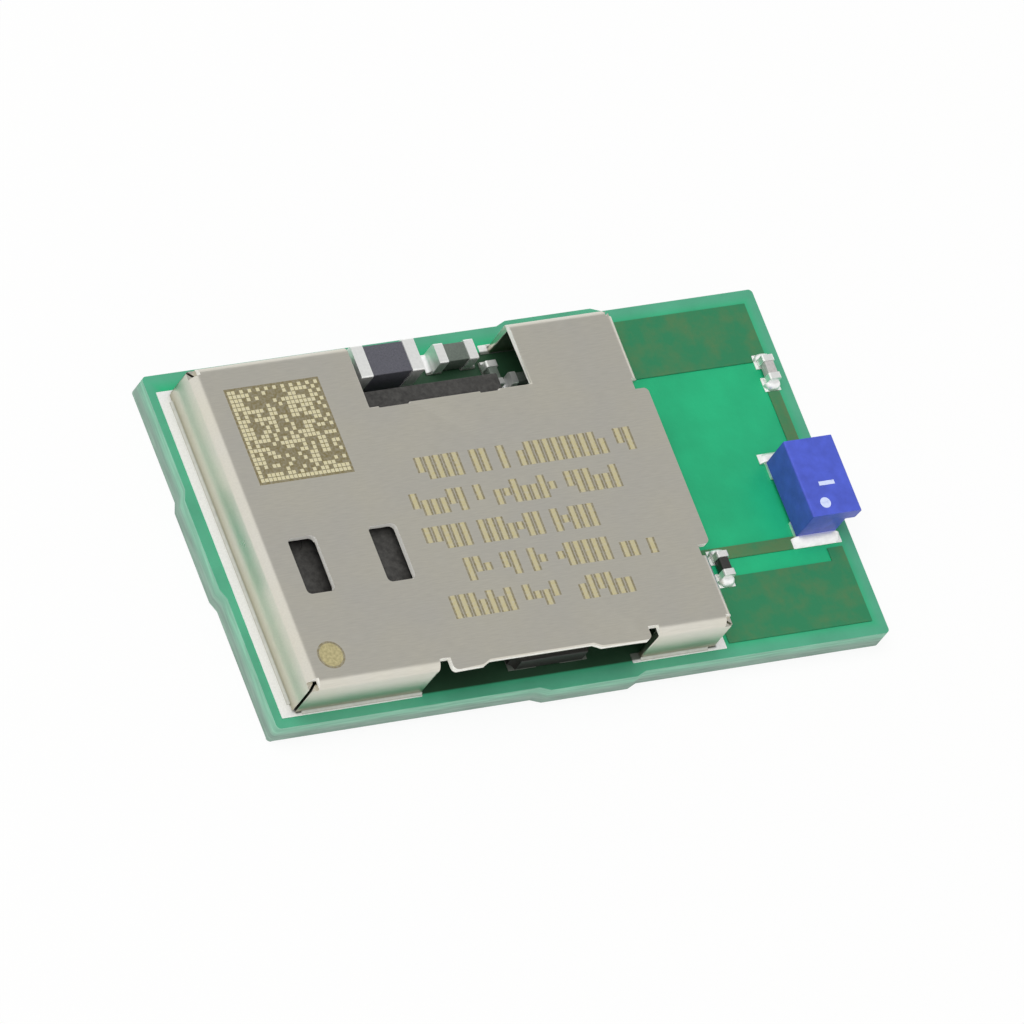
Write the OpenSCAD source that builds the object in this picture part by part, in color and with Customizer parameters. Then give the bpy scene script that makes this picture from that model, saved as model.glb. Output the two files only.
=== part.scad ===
// Shielded short-range radio module: a populated circuit board with a folded metal can over its circuit
// and a blue ceramic chip antenna on the bare end of the board.
// Frame: +X along the board towards the antenna, +Y towards the edge with the can's open window, +Z up.
// The origin is the middle of the board's underside. All sizes are in millimetres.

/* [Circuit board] */
// Thickness of the board
board_t = 0.6; // [0.4:0.05:1]
// Radius of the board's corners
board_corner_r = 0.1; // [0.05:0.05:0.4]
// From the board's left edge to the can
left_margin = 0.47; // [0.4:0.01:0.8]
// From the board's front edge to the can
front_margin = 0.3; // [0.25:0.01:0.8]
// From the board's rear edge to the can
rear_margin = 0.5; // [0.35:0.01:0.8]
// Length of bare board past the can, for the antenna
antenna_zone = 4.42; // [4:0.02:7]
// Length of a stub left by a broken-off panel tab
tab_l = 2.2; // [1:0.1:3]
// How far a tab stub stands out of the board's edge
tab_out = 0.1; // [0.05:0.01:0.2]
// Length of the sloped end of a tab stub
tab_slope = 0.25; // [0.1:0.05:0.5]
// Middle of the front tab stub, from the board's centre
front_tab_x = 0.15; // [-4:0.05:4]
// Middle of the rear tab stub, from the board's centre
rear_tab_x = 2.55; // [-4:0.05:4]
// Middle of the left tab stub, from the board's centre
left_tab_y = 0.2; // [-1.5:0.05:1.5]

/* [Copper] */
// Thickness of the copper areas and lands on the board
copper_t = 0.03; // [0.02:0.005:0.05]
// From a copper area to the board's edge
copper_margin = 0.33; // [0.2:0.01:0.5]
// Clear gap between the can's right-hand lands and the copper areas
copper_start = 0.1; // [0.08:0.01:0.3]
// Width of the rear copper area
rear_copper_w = 1.45; // [1:0.05:1.8]
// Width of a trace
trace_w = 0.3; // [0.2:0.01:0.4]
// Bare gap between the feed trace and the front copper area
trace_gap = 0.42; // [0.3:0.01:0.6]
// From the board's front edge to the middle of the feed trace
feed_from_front = 2.47; // [2.3:0.01:2.8]
// Width of the leg of the front copper area that runs up beside the antenna
copper_leg_w = 0.4; // [0.2:0.05:0.6]

/* [Shield can] */
// Thickness of the sheet
sheet_t = 0.15; // [0.1:0.01:0.2]
// Inside radius of the bends
bend_r = 0.06; // [0.03:0.01:0.12]
// Width of the slit down each corner
corner_slit = 0.06; // [0.04:0.01:0.1]
// Clear height between the radio chip and the sheet
lid_clear = 0.17; // [0.1:0.01:0.5]
// How far an unbent edge stands past the can's wall
tongue_out = 0.1; // [0.04:0.01:0.15]
// Radius of the corners of an unbent edge
tongue_r = 0.12; // [0.05:0.01:0.2]
// Width of the relief slot beside an unbent edge
relief_w = 0.27; // [0.15:0.01:0.3]
// Length of the front wall left of its opening
front_wall_l = 3.23; // [2:0.01:4]
// Length of the opening in the front wall
front_opening_l = 5.55; // [4:0.01:6]
// From the left end of the front edge to its shallow recess
recess_start = 0.75; // [0.5:0.05:1.5]
// Length of the shallow recess in the front edge
recess_l = 3; // [1:0.05:3.5]
// Depth of the shallow recess in the front edge
recess_depth = 0.1; // [0.05:0.01:0.15]
// Length of each sloped end of the shallow recess
recess_slope = 0.2; // [0.1:0.05:0.4]
// Length of the right wall in front of its opening
right_wall_l = 1.67; // [1:0.01:2.2]
// Length of the opening in the right wall
right_opening_l = 4.45; // [3:0.01:5]
// Length of the rear wall left of the window
rear_wall_l = 3.93; // [3:0.01:4.5]
// How far the rear window is cut into the top
rear_window_depth = 1.55; // [1.2:0.01:2]
// Free length of the rear window past its parts
rear_window_spare = 0.58; // [0.3:0.01:1]
// Depth of the dips in the rear window's cut edge
dip_depth = 0.05; // [0.02:0.01:0.1]
// How far the solder lands reach out at the left and right walls
side_land_out = 0.28; // [0.1:0.01:0.3]
// How far the solder lands reach out at the front and rear walls
end_land_out = 0.08; // [0.05:0.01:0.2]
// Radius of the solder along the can's foot, where its land is wide enough
foot_fillet = 0.06; // [0.04:0.01:0.2]
// How far the right-hand solder lands run past the left ends of their walls
land_over = 0.2; // [0.05:0.01:0.3]

/* [Test windows in the can] */
// Width of a window, along X
window_w = 0.7; // [0.4:0.01:1]
// Length of a window, along Y
window_l = 1.37; // [0.8:0.01:2]
// Radius of a window's corners
window_r = 0.12; // [0.05:0.01:0.2]
// From the can's left face to the middle of the first window
window_from_left = 1.08; // [0.9:0.01:1.3]
// Distance between the two windows
window_pitch = 2.02; // [1.5:0.01:2.5]
// From the can's front face to the middle of the windows
window_from_front = 2.86; // [2:0.01:4]

/* [Chips under the can] */
// Clear gap between neighbouring parts
part_gap = 0.18; // [0.15:0.01:0.25]
// Length of the radio chip, along X
radio_l = 5; // [4.5:0.1:6]
// Width of the radio chip, along Y
radio_w = 4.9; // [4.5:0.1:6]
// Clear gap between the radio chip and the power inductor
inductor_gap = 0.28; // [0.2:0.01:0.5]
// Height of the radio chip
radio_h = 0.85; // [0.8:0.05:1.2]
// Side of the bare metal pad under the radio chip
radio_pad = 3.4; // [2:0.1:3.6]
// Length of the memory chip, along X
memory_l = 2; // [1.8:0.1:3]
// Width of the memory chip, along Y
memory_w = 3; // [2:0.1:4]
// Height of the memory chip
memory_h = 0.75; // [0.5:0.05:0.8]
// Distance between neighbouring chip leads
lead_pitch = 0.5; // [0.4:0.05:0.65]
// Width of a chip lead
lead_w = 0.24; // [0.18:0.01:0.3]
// Length of a chip lead
lead_l = 0.4; // [0.25:0.05:0.5]
// Thickness of a chip lead
lead_t = 0.15; // [0.1:0.01:0.2]
// From a chip's corner to the middle of its first lead
lead_corner = 0.75; // [0.6:0.05:0.9]
// Radius of the dimple that marks a chip's first lead
dimple_r = 0.3; // [0.2:0.05:0.4]
// Depth of the dimple
dimple_depth = 0.03; // [0.02:0.005:0.05]
// From a chip's sides to the middle of the dimple
dimple_inset = 0.7; // [0.5:0.05:0.8]
// Length of the crystal, along X
crystal_l = 2; // [1.6:0.1:2.5]
// Width of the crystal, along Y
crystal_w = 1.6; // [1.2:0.1:2]
// Height of the crystal's ceramic base
crystal_base_h = 0.38; // [0.3:0.02:0.5]
// Height of the crystal's metal lid
crystal_lid_h = 0.12; // [0.08:0.01:0.15]
// Bare rim of the crystal's base round its lid
crystal_rim = 0.1; // [0.05:0.01:0.15]
// Radius of the notches in the crystal's corners
crystal_notch_r = 0.15; // [0.1:0.01:0.18]
// Length of a crystal land
crystal_land_l = 0.7; // [0.5:0.05:0.75]
// Width of a crystal land
crystal_land_w = 0.55; // [0.4:0.05:0.58]
// Clearance between the crystal and the plane of the front wall
crystal_clear = 0.04; // [0.03:0.01:0.1]
// Length of the band filter, along X
filter_l = 1.6; // [1.2:0.1:2]
// Width of the band filter, along Y
filter_w = 0.8; // [0.6:0.05:0.9]
// Height of the band filter
filter_h = 0.6; // [0.4:0.05:0.8]
// Width of the metal band round each end of the band filter
filter_band = 0.25; // [0.15:0.01:0.35]
// Clear length between the band filter and the right wall
filter_room = 0.49; // [0.35:0.01:1]

/* [Chip parts] */
// Length of the power inductor
inductor_l = 1.6; // [1.4:0.05:2]
// Width of the power inductor
inductor_w = 0.8; // [0.6:0.05:1]
// Height of the power inductor
inductor_h = 0.97; // [0.5:0.01:1.1]
// Width of the metal band round each end of the inductor
inductor_band = 0.3; // [0.2:0.01:0.4]
// How far the inductor stands out of the can's rear plane
inductor_out = 0.05; // [0:0.01:0.1]
// From the left end of the rear window to the inductor
inductor_room = 0.22; // [0.2:0.01:0.4]
// From the inductor to the decoupling capacitor
decoupling_room = 0.72; // [0.4:0.01:1]
// Length of a medium chip part
chip_l = 1; // [0.9:0.05:1.1]
// Width of a medium chip part
chip_w = 0.5; // [0.4:0.05:0.6]
// Height of the decoupling capacitor
decoupling_h = 0.5; // [0.3:0.01:0.6]
// Width of the metal band round each end of a medium chip part
chip_band = 0.23; // [0.15:0.01:0.3]
// Length of a small chip part
small_l = 0.6; // [0.5:0.05:0.7]
// Width of a small chip part
small_w = 0.3; // [0.2:0.05:0.4]
// Height of a small chip part
small_h = 0.3; // [0.2:0.05:0.4]
// Width of the metal band round each end of a small chip part
small_band = 0.15; // [0.1:0.01:0.2]
// Distance between the bypass capacitors beside the radio chip
bypass_pitch = 1; // [0.6:0.05:1.1]
// Thickness of the metal bands
band_t = 0.03; // [0.02:0.005:0.05]
// Radius of the long edges of a metal band
band_r = 0.05; // [0.03:0.01:0.08]
// How far a land and its solder reach past the end of a part
toe = 0.12; // [0.08:0.01:0.14]
// Width of the solder bead and its land at each end of a small part outside the can
bead_w = 0.42; // [0.35:0.01:0.5]
// Radius of that bead
bead_r = 0.16; // [0.1:0.01:0.2]
// How far a land reaches past the metal band, under the part
heel = 0.04; // [0.02:0.01:0.06]

/* [Antenna and its parts] */
// Width of the antenna, along X
antenna_w = 1.26; // [1:0.02:1.6]
// Length of the antenna, along Y
antenna_l = 1.9; // [1.6:0.05:2.4]
// Height of the antenna on its terminals
antenna_h = 1; // [0.6:0.05:1.2]
// From the antenna to the board's right edge
antenna_margin = 0.16; // [0.12:0.01:0.4]
// How far the antenna's upper part overhangs its foot
antenna_step_w = 0.25; // [0.1:0.01:0.4]
// Height of the antenna's foot
antenna_step_h = 0.58; // [0.3:0.01:0.7]
// Radius of the antenna's upper edges
antenna_edge_r = 0.05; // [0.02:0.01:0.1]
// Thickness of the antenna's terminals
terminal_t = 0.05; // [0.03:0.01:0.1]
// Length of an antenna terminal
terminal_l = 0.4; // [0.2:0.05:0.6]
// From the middle of the feed trace to the antenna's front face
antenna_seat = 0.08; // [0.05:0.01:0.1]
// How far the antenna's lands and their solder reach past its ends
antenna_toe = 0.24; // [0.15:0.01:0.3]
// Height of the solder in front of and behind the antenna
antenna_bead_h = 0.12; // [0.08:0.01:0.2]
// How far the ends of those lands reach past the antenna's foot on each side
antenna_land_side = 0.12; // [0.05:0.01:0.16]
// Clear gap between the can's right edge and the matching capacitor
matching_room = 0.64; // [0.4:0.01:0.8]
// How far the tuning capacitor's middle lies in front of the rear copper's edge
tuning_offset = 0.3; // [0.15:0.01:0.4]

/* [Contacts on the underside] */
// Length of a contact, away from the board's edge
pad_l = 0.9; // [0.6:0.05:1]
// Width of a contact
pad_w = 0.6; // [0.4:0.05:0.8]
// Distance between neighbouring contacts
pad_pitch = 1.2; // [1:0.05:1.5]
// From the board's edge to a contact
pad_inset = 0.3; // [0.2:0.01:0.4]
// Side of a square ground contact
ground_pad = 1.1; // [0.8:0.05:1.3]
// Distance between neighbouring ground contacts
ground_pitch = 1.6; // [1.4:0.05:1.8]

/* [Hidden] */
$fn = 48;
bend_out = bend_r + sheet_t;

// The can is sized round the parts that it covers, and the board round the can.
can_l = 2 * sheet_t + memory_l + radio_l + small_l + filter_l + 4 * part_gap + filter_room;
can_w = sheet_t + crystal_clear + crystal_w + part_gap + radio_w + inductor_gap + inductor_w - inductor_out;
board_l = left_margin + can_l + antenna_zone;
board_w = front_margin + can_w + rear_margin;

board_x0 = -board_l / 2;
board_x1 = board_l / 2;
board_y0 = -board_w / 2;
board_y1 = board_w / 2;
tab_places = [[front_tab_x, board_y0, 180], [rear_tab_x, board_y1, 0], [board_x0, left_tab_y, 90]];
can_x0 = board_x0 + left_margin;
can_x1 = can_x0 + can_l;
can_y0 = board_y0 + front_margin;
can_y1 = can_y0 + can_w;

// Heights: the lands, the parts standing on them, the can's bend line and its top.
land_z = board_t;
seat_z = land_z + copper_t;
can_top = seat_z + radio_h + lid_clear + sheet_t;
bend_z = can_top - bend_out;

// The chips under the can.
memory_x = can_x0 + sheet_t + part_gap + memory_l / 2;
memory_y = can_y0 + window_from_front;
radio_x = memory_x + memory_l / 2 + part_gap + radio_l / 2;
radio_x1 = radio_x + radio_l / 2;
radio_y0 = can_y0 + sheet_t + crystal_clear + crystal_w + part_gap;
radio_y = radio_y0 + radio_w / 2;
radio_y1 = radio_y0 + radio_w;
crystal_x = radio_x1 - crystal_l / 2;
crystal_y = radio_y0 - part_gap - crystal_w / 2;
small_x = radio_x1 + part_gap + small_l / 2;

// The openings of the can.
front_x0 = can_x0 + front_wall_l;
front_x1 = front_x0 + front_opening_l;
right_y0 = can_y0 + right_wall_l;
right_y1 = right_y0 + right_opening_l;
rear_x0 = can_x0 + rear_wall_l;
rear_window_l = inductor_room + inductor_l + decoupling_room + chip_l + rear_window_spare;
rear_x1 = rear_x0 + rear_window_l;
rear_window_y = can_y1 - rear_window_depth;

// The antenna's end of the board.
feed_y = board_y0 + feed_from_front;
antenna_x1 = board_x1 - antenna_margin;
antenna_x0 = antenna_x1 - antenna_w;
antenna_foot_w = antenna_w - antenna_step_w;
antenna_y0 = feed_y + antenna_seat;
antenna_y1 = antenna_y0 + antenna_l;
copper_x0 = can_x1 + side_land_out + copper_start;
copper_x1 = board_x1 - copper_margin;
rear_copper_y1 = board_y1 - copper_margin;
rear_copper_y0 = rear_copper_y1 - rear_copper_w;
front_copper_y0 = board_y0 + copper_margin;
front_copper_y1 = feed_y - trace_w / 2 - trace_gap;

// Chip parts with two metal-banded ends: length, width, height and band width,
// and then the width and the toe of their lands.
inductor_size = [inductor_l, inductor_w, inductor_h, inductor_band, inductor_w, toe];
decoupling_size = [chip_l, chip_w, decoupling_h, chip_band, chip_w, toe];
filter_size = [filter_l, filter_w, filter_h, filter_band, filter_w, toe];
small_size = [small_l, small_w, small_h, small_band, small_w, toe];
beaded_size = [small_l, small_w, small_h, small_band, bead_w, bead_r];

// Where they stand: x, y and turn about Z.
inductor_x = rear_x0 + inductor_room + inductor_l / 2;
inductor_place = [inductor_x, can_y1 + inductor_out - inductor_w / 2, 0];
decoupling_x = inductor_x + inductor_l / 2 + decoupling_room + chip_l / 2;
decoupling_place = [decoupling_x, can_y1 + inductor_out - chip_w / 2, 0];
filter_place = [small_x + small_l / 2 + part_gap + filter_l / 2, feed_y, 0];
matching_x = can_x1 + tongue_out + matching_room + small_w / 2;
matching_place = [matching_x, feed_y - small_l / 2 - toe / 2, 90];
tuning_x = copper_x1 - trace_w / 2;
tuning_place = [tuning_x, rear_copper_y0 - tuning_offset, 90];

// Four bypass capacitors in a column beside the radio chip and two in the corner of the rear window,
// clear of the chip and of the decoupling capacitor.
bypass_count = 4;
bypass_y = radio_y1 - small_w - part_gap;
corner_x0 = max(radio_x1 + part_gap, decoupling_x + chip_l / 2 + toe + part_gap / 2);
corner_y = max(radio_y1 + inductor_gap, bypass_y + small_w / 2 + part_gap / 2 + toe + small_l / 2);
bypass_places = [
    for (i = [0 : bypass_count - 1]) [small_x, bypass_y - i * bypass_pitch, 0],
    [corner_x0 + small_w / 2, corner_y, 90],
    [corner_x0 + small_w + part_gap + small_l / 2, corner_y - part_gap, 0]
];
load_places = [
    [crystal_x - crystal_l / 2 - part_gap - small_w / 2, crystal_y, 90],
    [crystal_x + crystal_l / 2 + part_gap + small_w / 2, crystal_y, 90]
];

two_ended_parts = concat(
    [[inductor_size, inductor_place], [decoupling_size, decoupling_place], [filter_size, filter_place],
     [beaded_size, matching_place], [beaded_size, tuning_place]],
    [for (place = bypass_places) [small_size, place]],
    [for (place = load_places) [small_size, place]]
);

// Soldered stretches of the can's walls: x and y of the start on the outer face, outward direction, length.
// Each runs to the left of its outward direction.
wall_segments = [
    [can_x0 + bend_out, can_y0, -90, front_wall_l - bend_out],
    [front_x1, can_y0, -90, can_x1 - bend_out - front_x1],
    [can_x1, can_y0 + bend_out, 0, right_wall_l - bend_out],
    [can_x1, right_y1, 0, can_y1 - bend_out - right_y1],
    [can_x1 - bend_out, can_y1, 90, can_x1 - bend_out - rear_x1],
    [rear_x0, can_y1, 90, rear_wall_l - bend_out],
    [can_x0, can_y1 - bend_out, 180, can_w - 2 * bend_out]
];

// A rectangle given by two corners.
module area(x0, y0, x1, y1) {
    translate([x0, y0])
        square([x1 - x0, y1 - y0]);
}

// A rectangle about the origin with round corners.
module rounded_area(l, w, r) {
    square([l - 2 * r, w], center = true);
    square([l, w - 2 * r], center = true);
    for (sx = [-1, 1], sy = [-1, 1])
        translate([sx * (l / 2 - r), sy * (w / 2 - r)])
            circle(r);
}

// A flat slab from z up, with a plan given by its children.
module slab(z, t) {
    translate([0, 0, z])
        linear_extrude(t)
            children();
}

// Puts its children at a place with a turn, on a height.
module at_place(place, z = 0) {
    translate([place[0], place[1], z])
        rotate(place[2])
            children();
}

// The section of its children, in X and Z, carried along Y from the origin.
module along_y(length) {
    rotate([90, 0, 0])
        translate([0, 0, -length])
            linear_extrude(length)
                children();
}

// The hollow corner of solder that climbs from a land to a wall at x = 0.
module fillet_section(r) {
    difference() {
        square(r);
        translate([r, r])
            circle(r);
    }
}

// A round-ended bar of solder along Y, about its middle, between a land at z = 0 and a wall at x = 0.
// Its rounding reaches out along the land and up the wall, and its middle may lie below the land.
module bead(length, reach, height) {
    r = (reach * reach + height * height) / (2 * height);
    bar_l = length - 2 * reach + 2 * r;
    intersection() {
        translate([0, 0, height - r])
            rotate([90, 0, 0])
                rotate_extrude()
                    intersection() {
                        rounded_bar(bar_l, r);
                        translate([0, -bar_l / 2])
                            square([r, bar_l]);
                    }
        translate([0, -length / 2, 0])
            cube([reach, length, height]);
    }
}

// A bar about the origin along Y, with half-round ends.
module rounded_bar(length, r) {
    square([2 * r, length - 2 * r], center = true);
    for (side = [-1, 1])
        translate([0, side * (length / 2 - r)])
            circle(r);
}

// The board as it was broken out of its panel.
module board_blank() {
    linear_extrude(board_t)
        rounded_area(board_l, board_w, board_corner_r);
    for (tab = tab_places)
        at_place(tab)
            linear_extrude(board_t)
                tab_stub();
}

// A stub on an edge that faces +Y, rooted a tab's slope deep in the board.
module tab_stub() {
    root_x = tab_l / 2 + tab_slope;
    polygon([
        [-root_x, -tab_slope],
        [-root_x, 0],
        [-tab_l / 2, tab_out],
        [tab_l / 2, tab_out],
        [root_x, 0],
        [root_x, -tab_slope]
    ]);
}

// Contacts along three edges under the can, and a block of ground contacts under the radio chip.
module contact_outlines() {
    row_l = can_x1 - board_x0 - 2 * pad_inset - pad_w;
    row_count = floor(row_l / pad_pitch) + 1;
    row_x = board_x0 + pad_inset + pad_w / 2;
    row_y = board_w / 2 - pad_inset - pad_l / 2;
    for (i = [0 : row_count - 1], side = [-1, 1])
        translate([row_x + i * pad_pitch, side * row_y])
            square([pad_w, pad_l], center = true);
    column_l = board_w - 2 * (pad_inset + pad_l) - pad_w;
    column_count = floor(column_l / pad_pitch);
    for (i = [0 : column_count - 1])
        translate([board_x0 + pad_inset + pad_l / 2, (i - (column_count - 1) / 2) * pad_pitch])
            square([pad_l, pad_w], center = true);
    for (ix = [-1, 0, 1], iy = [-1, 0, 1])
        translate([radio_x + ix * ground_pitch, iy * ground_pitch])
            square(ground_pad, center = true);
}

// The plan of the lands under the two ends of a chip part.
module end_land_outlines(size) {
    land_l = heel + size[3] + size[5];
    for (side = [-1, 1])
        translate([side * (size[0] / 2 + size[5] - land_l / 2), 0])
            square([land_l, size[4]], center = true);
}

// The lands under the antenna's two ends, wider where they reach past it.
module antenna_land_outlines() {
    for (y0 = [antenna_y0, antenna_y1 - terminal_l])
        area(antenna_x0, y0, antenna_x0 + antenna_foot_w, y0 + terminal_l);
    for (y0 = [antenna_y0 - antenna_toe, antenna_y1])
        area(antenna_x0 - antenna_land_side, y0,
            antenna_x0 + antenna_foot_w + antenna_land_side, y0 + antenna_toe);
}

module crystal_land_outlines() {
    for (sx = [-1, 1], sy = [-1, 1])
        translate([
            crystal_x + sx * (crystal_l - crystal_land_l) / 2,
            crystal_y + sy * (crystal_w - crystal_land_w) / 2
        ])
            square([crystal_land_l, crystal_land_w], center = true);
}

// Leads along the two sides of a chip that face X.
module lead_rows(l, w) {
    count = floor((w - 2 * lead_corner) / lead_pitch) + 1;
    for (i = [0 : count - 1], side = [-1, 1])
        translate([side * (l - lead_l) / 2, (i - (count - 1) / 2) * lead_pitch])
            square([lead_l, lead_w], center = true);
}

module radio_lead_outlines() {
    translate([radio_x, radio_y]) {
        lead_rows(radio_l, radio_w);
        rotate(90)
            lead_rows(radio_w, radio_l);
        square(radio_pad, center = true);
    }
}

module memory_lead_outlines() {
    translate([memory_x, memory_y])
        lead_rows(memory_l, memory_w);
}

module component_land_outlines() {
    for (part = two_ended_parts)
        at_place(part[1])
            end_land_outlines(part[0]);
    antenna_land_outlines();
    crystal_land_outlines();
    radio_lead_outlines();
    memory_lead_outlines();
}

// A copper area or trace, cleared where the bare lands lie in it.
module copper() {
    color([0.26, 0.5, 0.35])
        slab(land_z, copper_t)
            difference() {
                children();
                component_land_outlines();
            }
}

// A chip part's ceramic block, its ends reaching into the metal bands.
module chip_body(size) {
    translate([0, 0, size[2] / 2])
        cube([size[0], size[1], size[2]] - 2 * [band_t, band_t, band_t], center = true);
}

// The two metal bands that cap the ends of a chip part, with round long edges.
module chip_bands(size) {
    difference() {
        for (side = [-1, 1])
            translate([side * (size[0] - size[3]) / 2 - size[3] / 2, 0, size[2] / 2])
                rotate([90, 0, 90])
                    linear_extrude(size[3])
                        rounded_area(size[1], size[2], band_r);
        chip_body(size);
    }
}

// Solder at the two ends of a chip part.
module chip_solder(size) {
    for (turn = [0, 180])
        rotate(turn)
            translate([size[0] / 2, band_r - size[1] / 2, 0])
                along_y(size[1] - 2 * band_r)
                    fillet_section(min(toe, size[2] / 2));
}

// Beads of solder at the two ends of a chip part.
module chip_beads(size) {
    for (turn = [0, 180])
        rotate(turn)
            translate([size[0] / 2, 0, 0])
                bead(size[4], size[5], size[5]);
}

module circuit_board() {
    color([0.15, 0.68, 0.49])
        difference() {
            board_blank();
            linear_extrude(copper_t)
                contact_outlines();
        }
}

module rear_copper() {
    copper()
        area(copper_x0, rear_copper_y0, copper_x1, rear_copper_y1);
}

module front_copper() {
    copper() {
        area(copper_x0, front_copper_y0, copper_x1, front_copper_y1);
        area(copper_x1 - copper_leg_w, front_copper_y1,
            copper_x1, antenna_y0 - antenna_toe - part_gap / 2);
    }
}

module feed_trace() {
    copper()
        area(filter_place[0] + filter_l / 2, feed_y - trace_w / 2, antenna_x0, feed_y + trace_w / 2);
}

module tuning_trace() {
    copper()
        area(tuning_x - trace_w / 2, antenna_y1, tuning_x + trace_w / 2, tuning_place[1] - small_l / 2);
}

module contact_pads() {
    color([0.85, 0.7, 0.35])
        linear_extrude(copper_t)
            contact_outlines();
}

// Lands under the can's walls. Those of the right front and right rear walls run past the walls' left ends.
module shield_lands() {
    color([0.9, 0.91, 0.9])
        slab(land_z, copper_t)
            difference() {
                area(can_x0 - side_land_out, can_y0 - end_land_out,
                    can_x1 + side_land_out, can_y1 + end_land_out);
                area(can_x0 + sheet_t, can_y0 + sheet_t, can_x1 - sheet_t, can_y1 - sheet_t);
                area(front_x0, board_y0, front_x1 - land_over, can_y0 + sheet_t);
                area(rear_x0, can_y1 - sheet_t, rear_x1 - land_over, board_y1);
                area(can_x1 - sheet_t, right_y0, board_x1, right_y1);
            }
}

module component_lands() {
    color([0.9, 0.91, 0.9])
        slab(land_z, copper_t)
            component_land_outlines();
}

// A section of the folded sheet: upright sides and a flat top, joined by round bends.
module folded_section(l, h, r) {
    translate([-l / 2, 0])
        square([l, h - r]);
    translate([r - l / 2, 0])
        square([l - 2 * r, h]);
    for (side = [-1, 1])
        translate([side * (l / 2 - r), h - r])
            circle(r);
}

// The can's form, drawn in from its outer faces and carried down below its foot.
module can_form(inset, drop) {
    l = can_l - 2 * inset;
    w = can_w - 2 * inset;
    h = can_top - seat_z - inset + drop;
    r = bend_out - inset;
    translate([0, 0, seat_z - drop])
        intersection() {
            translate([can_x0 + can_l / 2, can_y0 + inset, 0])
                along_y(w)
                    folded_section(l, h, r);
            translate([can_x1 - inset, can_y0 + can_w / 2, 0])
                rotate(90)
                    along_y(l)
                        folded_section(w, h, r);
        }
}

// The gaps in the front and right walls and the rear window, each cut back past the bend.
module wall_openings() {
    slab(land_z, can_top) {
        area(front_x0, board_y0, front_x1, can_y0 + bend_out);
        area(can_x1 - bend_out, right_y0, board_x1, right_y1);
        area(rear_x0, rear_window_y, rear_x1, board_y1);
    }
}

// At each corner a hole where two bends would meet, and a slit down between the walls.
module corner_cuts() {
    slit_l = 2 * sqrt(2) * sheet_t + 1.5 * corner_slit;
    for (x = [can_x0, can_x1], y = [can_y0, can_y1])
        translate([x, y]) {
            slab(bend_z, 2 * bend_out)
                square(2 * bend_out, center = true);
            slab(land_z, can_top - land_z)
                rotate((x == can_x0) == (y == can_y0) ? 45 : -45)
                    square([slit_l, corner_slit], center = true);
        }
}

// The edges left flat over the front and right openings.
module unbent_edges() {
    front_edge_l = front_opening_l - 2 * relief_w;
    right_edge_l = right_opening_l - 2 * relief_w;
    edge_in = bend_out + tongue_out + 2 * tongue_r;
    translate([front_x0 + front_opening_l / 2, can_y0 - tongue_out + edge_in / 2])
        rounded_area(front_edge_l, edge_in, tongue_r);
    translate([can_x1 + tongue_out - edge_in / 2, right_y0 + right_opening_l / 2])
        rounded_area(edge_in, right_edge_l, tongue_r);
}

// A recess in an edge that faces -Y, with sloped ends, drawn past the edge by its own depth.
module sloped_recess(length, depth, slope) {
    polygon([
        [-length / 2, -depth],
        [-length / 2, 0],
        [slope - length / 2, depth],
        [length / 2 - slope, depth],
        [length / 2, 0],
        [length / 2, -depth]
    ]);
}

// The two windows, the recess in the front edge, and the dips in the rear window's edge.
module top_cut_outs() {
    long_dip = inductor_l / 2;
    short_dip = chip_l / 2;
    for (i = [0, 1])
        translate([can_x0 + window_from_left + i * window_pitch, can_y0 + window_from_front])
            rounded_area(window_w, window_l, window_r);
    translate([front_x0 + relief_w + recess_start + recess_l / 2, can_y0 - tongue_out])
        sloped_recess(recess_l, recess_depth, recess_slope);
    translate([inductor_x - long_dip / 2, rear_window_y])
        rounded_area(long_dip, 2 * dip_depth, dip_depth / 2);
    translate([decoupling_x, rear_window_y])
        rounded_area(short_dip, 2 * dip_depth, dip_depth / 2);
}

module shield_can() {
    color([0.66, 0.64, 0.61])
        difference() {
            union() {
                difference() {
                    can_form(0, 0);
                    can_form(sheet_t, sheet_t);
                    wall_openings();
                    corner_cuts();
                }
                slab(can_top - sheet_t, sheet_t)
                    unbent_edges();
            }
            slab(can_top - 2 * sheet_t, 3 * sheet_t)
                top_cut_outs();
        }
}

module shield_solder() {
    color([0.86, 0.87, 0.86])
        for (wall = wall_segments)
            at_place(wall, seat_z)
                along_y(wall[3])
                    fillet_section(min(foot_fillet, wall[2] % 180 == 0 ? side_land_out : end_land_out));
}

// A moulded chip, with the pockets that its leads fill and a dimple at its first lead.
module moulded_chip(x, y, l, w, h) {
    color([0.14, 0.14, 0.16])
        difference() {
            translate([x - l / 2, y - w / 2, seat_z])
                cube([l, w, h]);
            slab(seat_z, lead_t)
                children();
            translate([x - l / 2 + dimple_inset, y + w / 2 - dimple_inset, seat_z + h - dimple_depth])
                cylinder(h = 2 * dimple_depth, r = dimple_r);
        }
}

module leads() {
    color([0.8, 0.79, 0.76])
        slab(seat_z, lead_t)
            children();
}

module radio_chip_body() {
    moulded_chip(radio_x, radio_y, radio_l, radio_w, radio_h)
        radio_lead_outlines();
}

module radio_chip_leads() {
    leads()
        radio_lead_outlines();
}

module memory_chip_body() {
    moulded_chip(memory_x, memory_y, memory_l, memory_w, memory_h)
        memory_lead_outlines();
}

module memory_chip_leads() {
    leads()
        memory_lead_outlines();
}

module crystal_base() {
    color([0.2, 0.18, 0.17])
        slab(seat_z, crystal_base_h)
            difference() {
                translate([crystal_x, crystal_y])
                    square([crystal_l, crystal_w], center = true);
                for (sx = [-1, 1], sy = [-1, 1])
                    translate([crystal_x + sx * crystal_l / 2, crystal_y + sy * crystal_w / 2])
                        circle(crystal_notch_r);
            }
}

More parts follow.
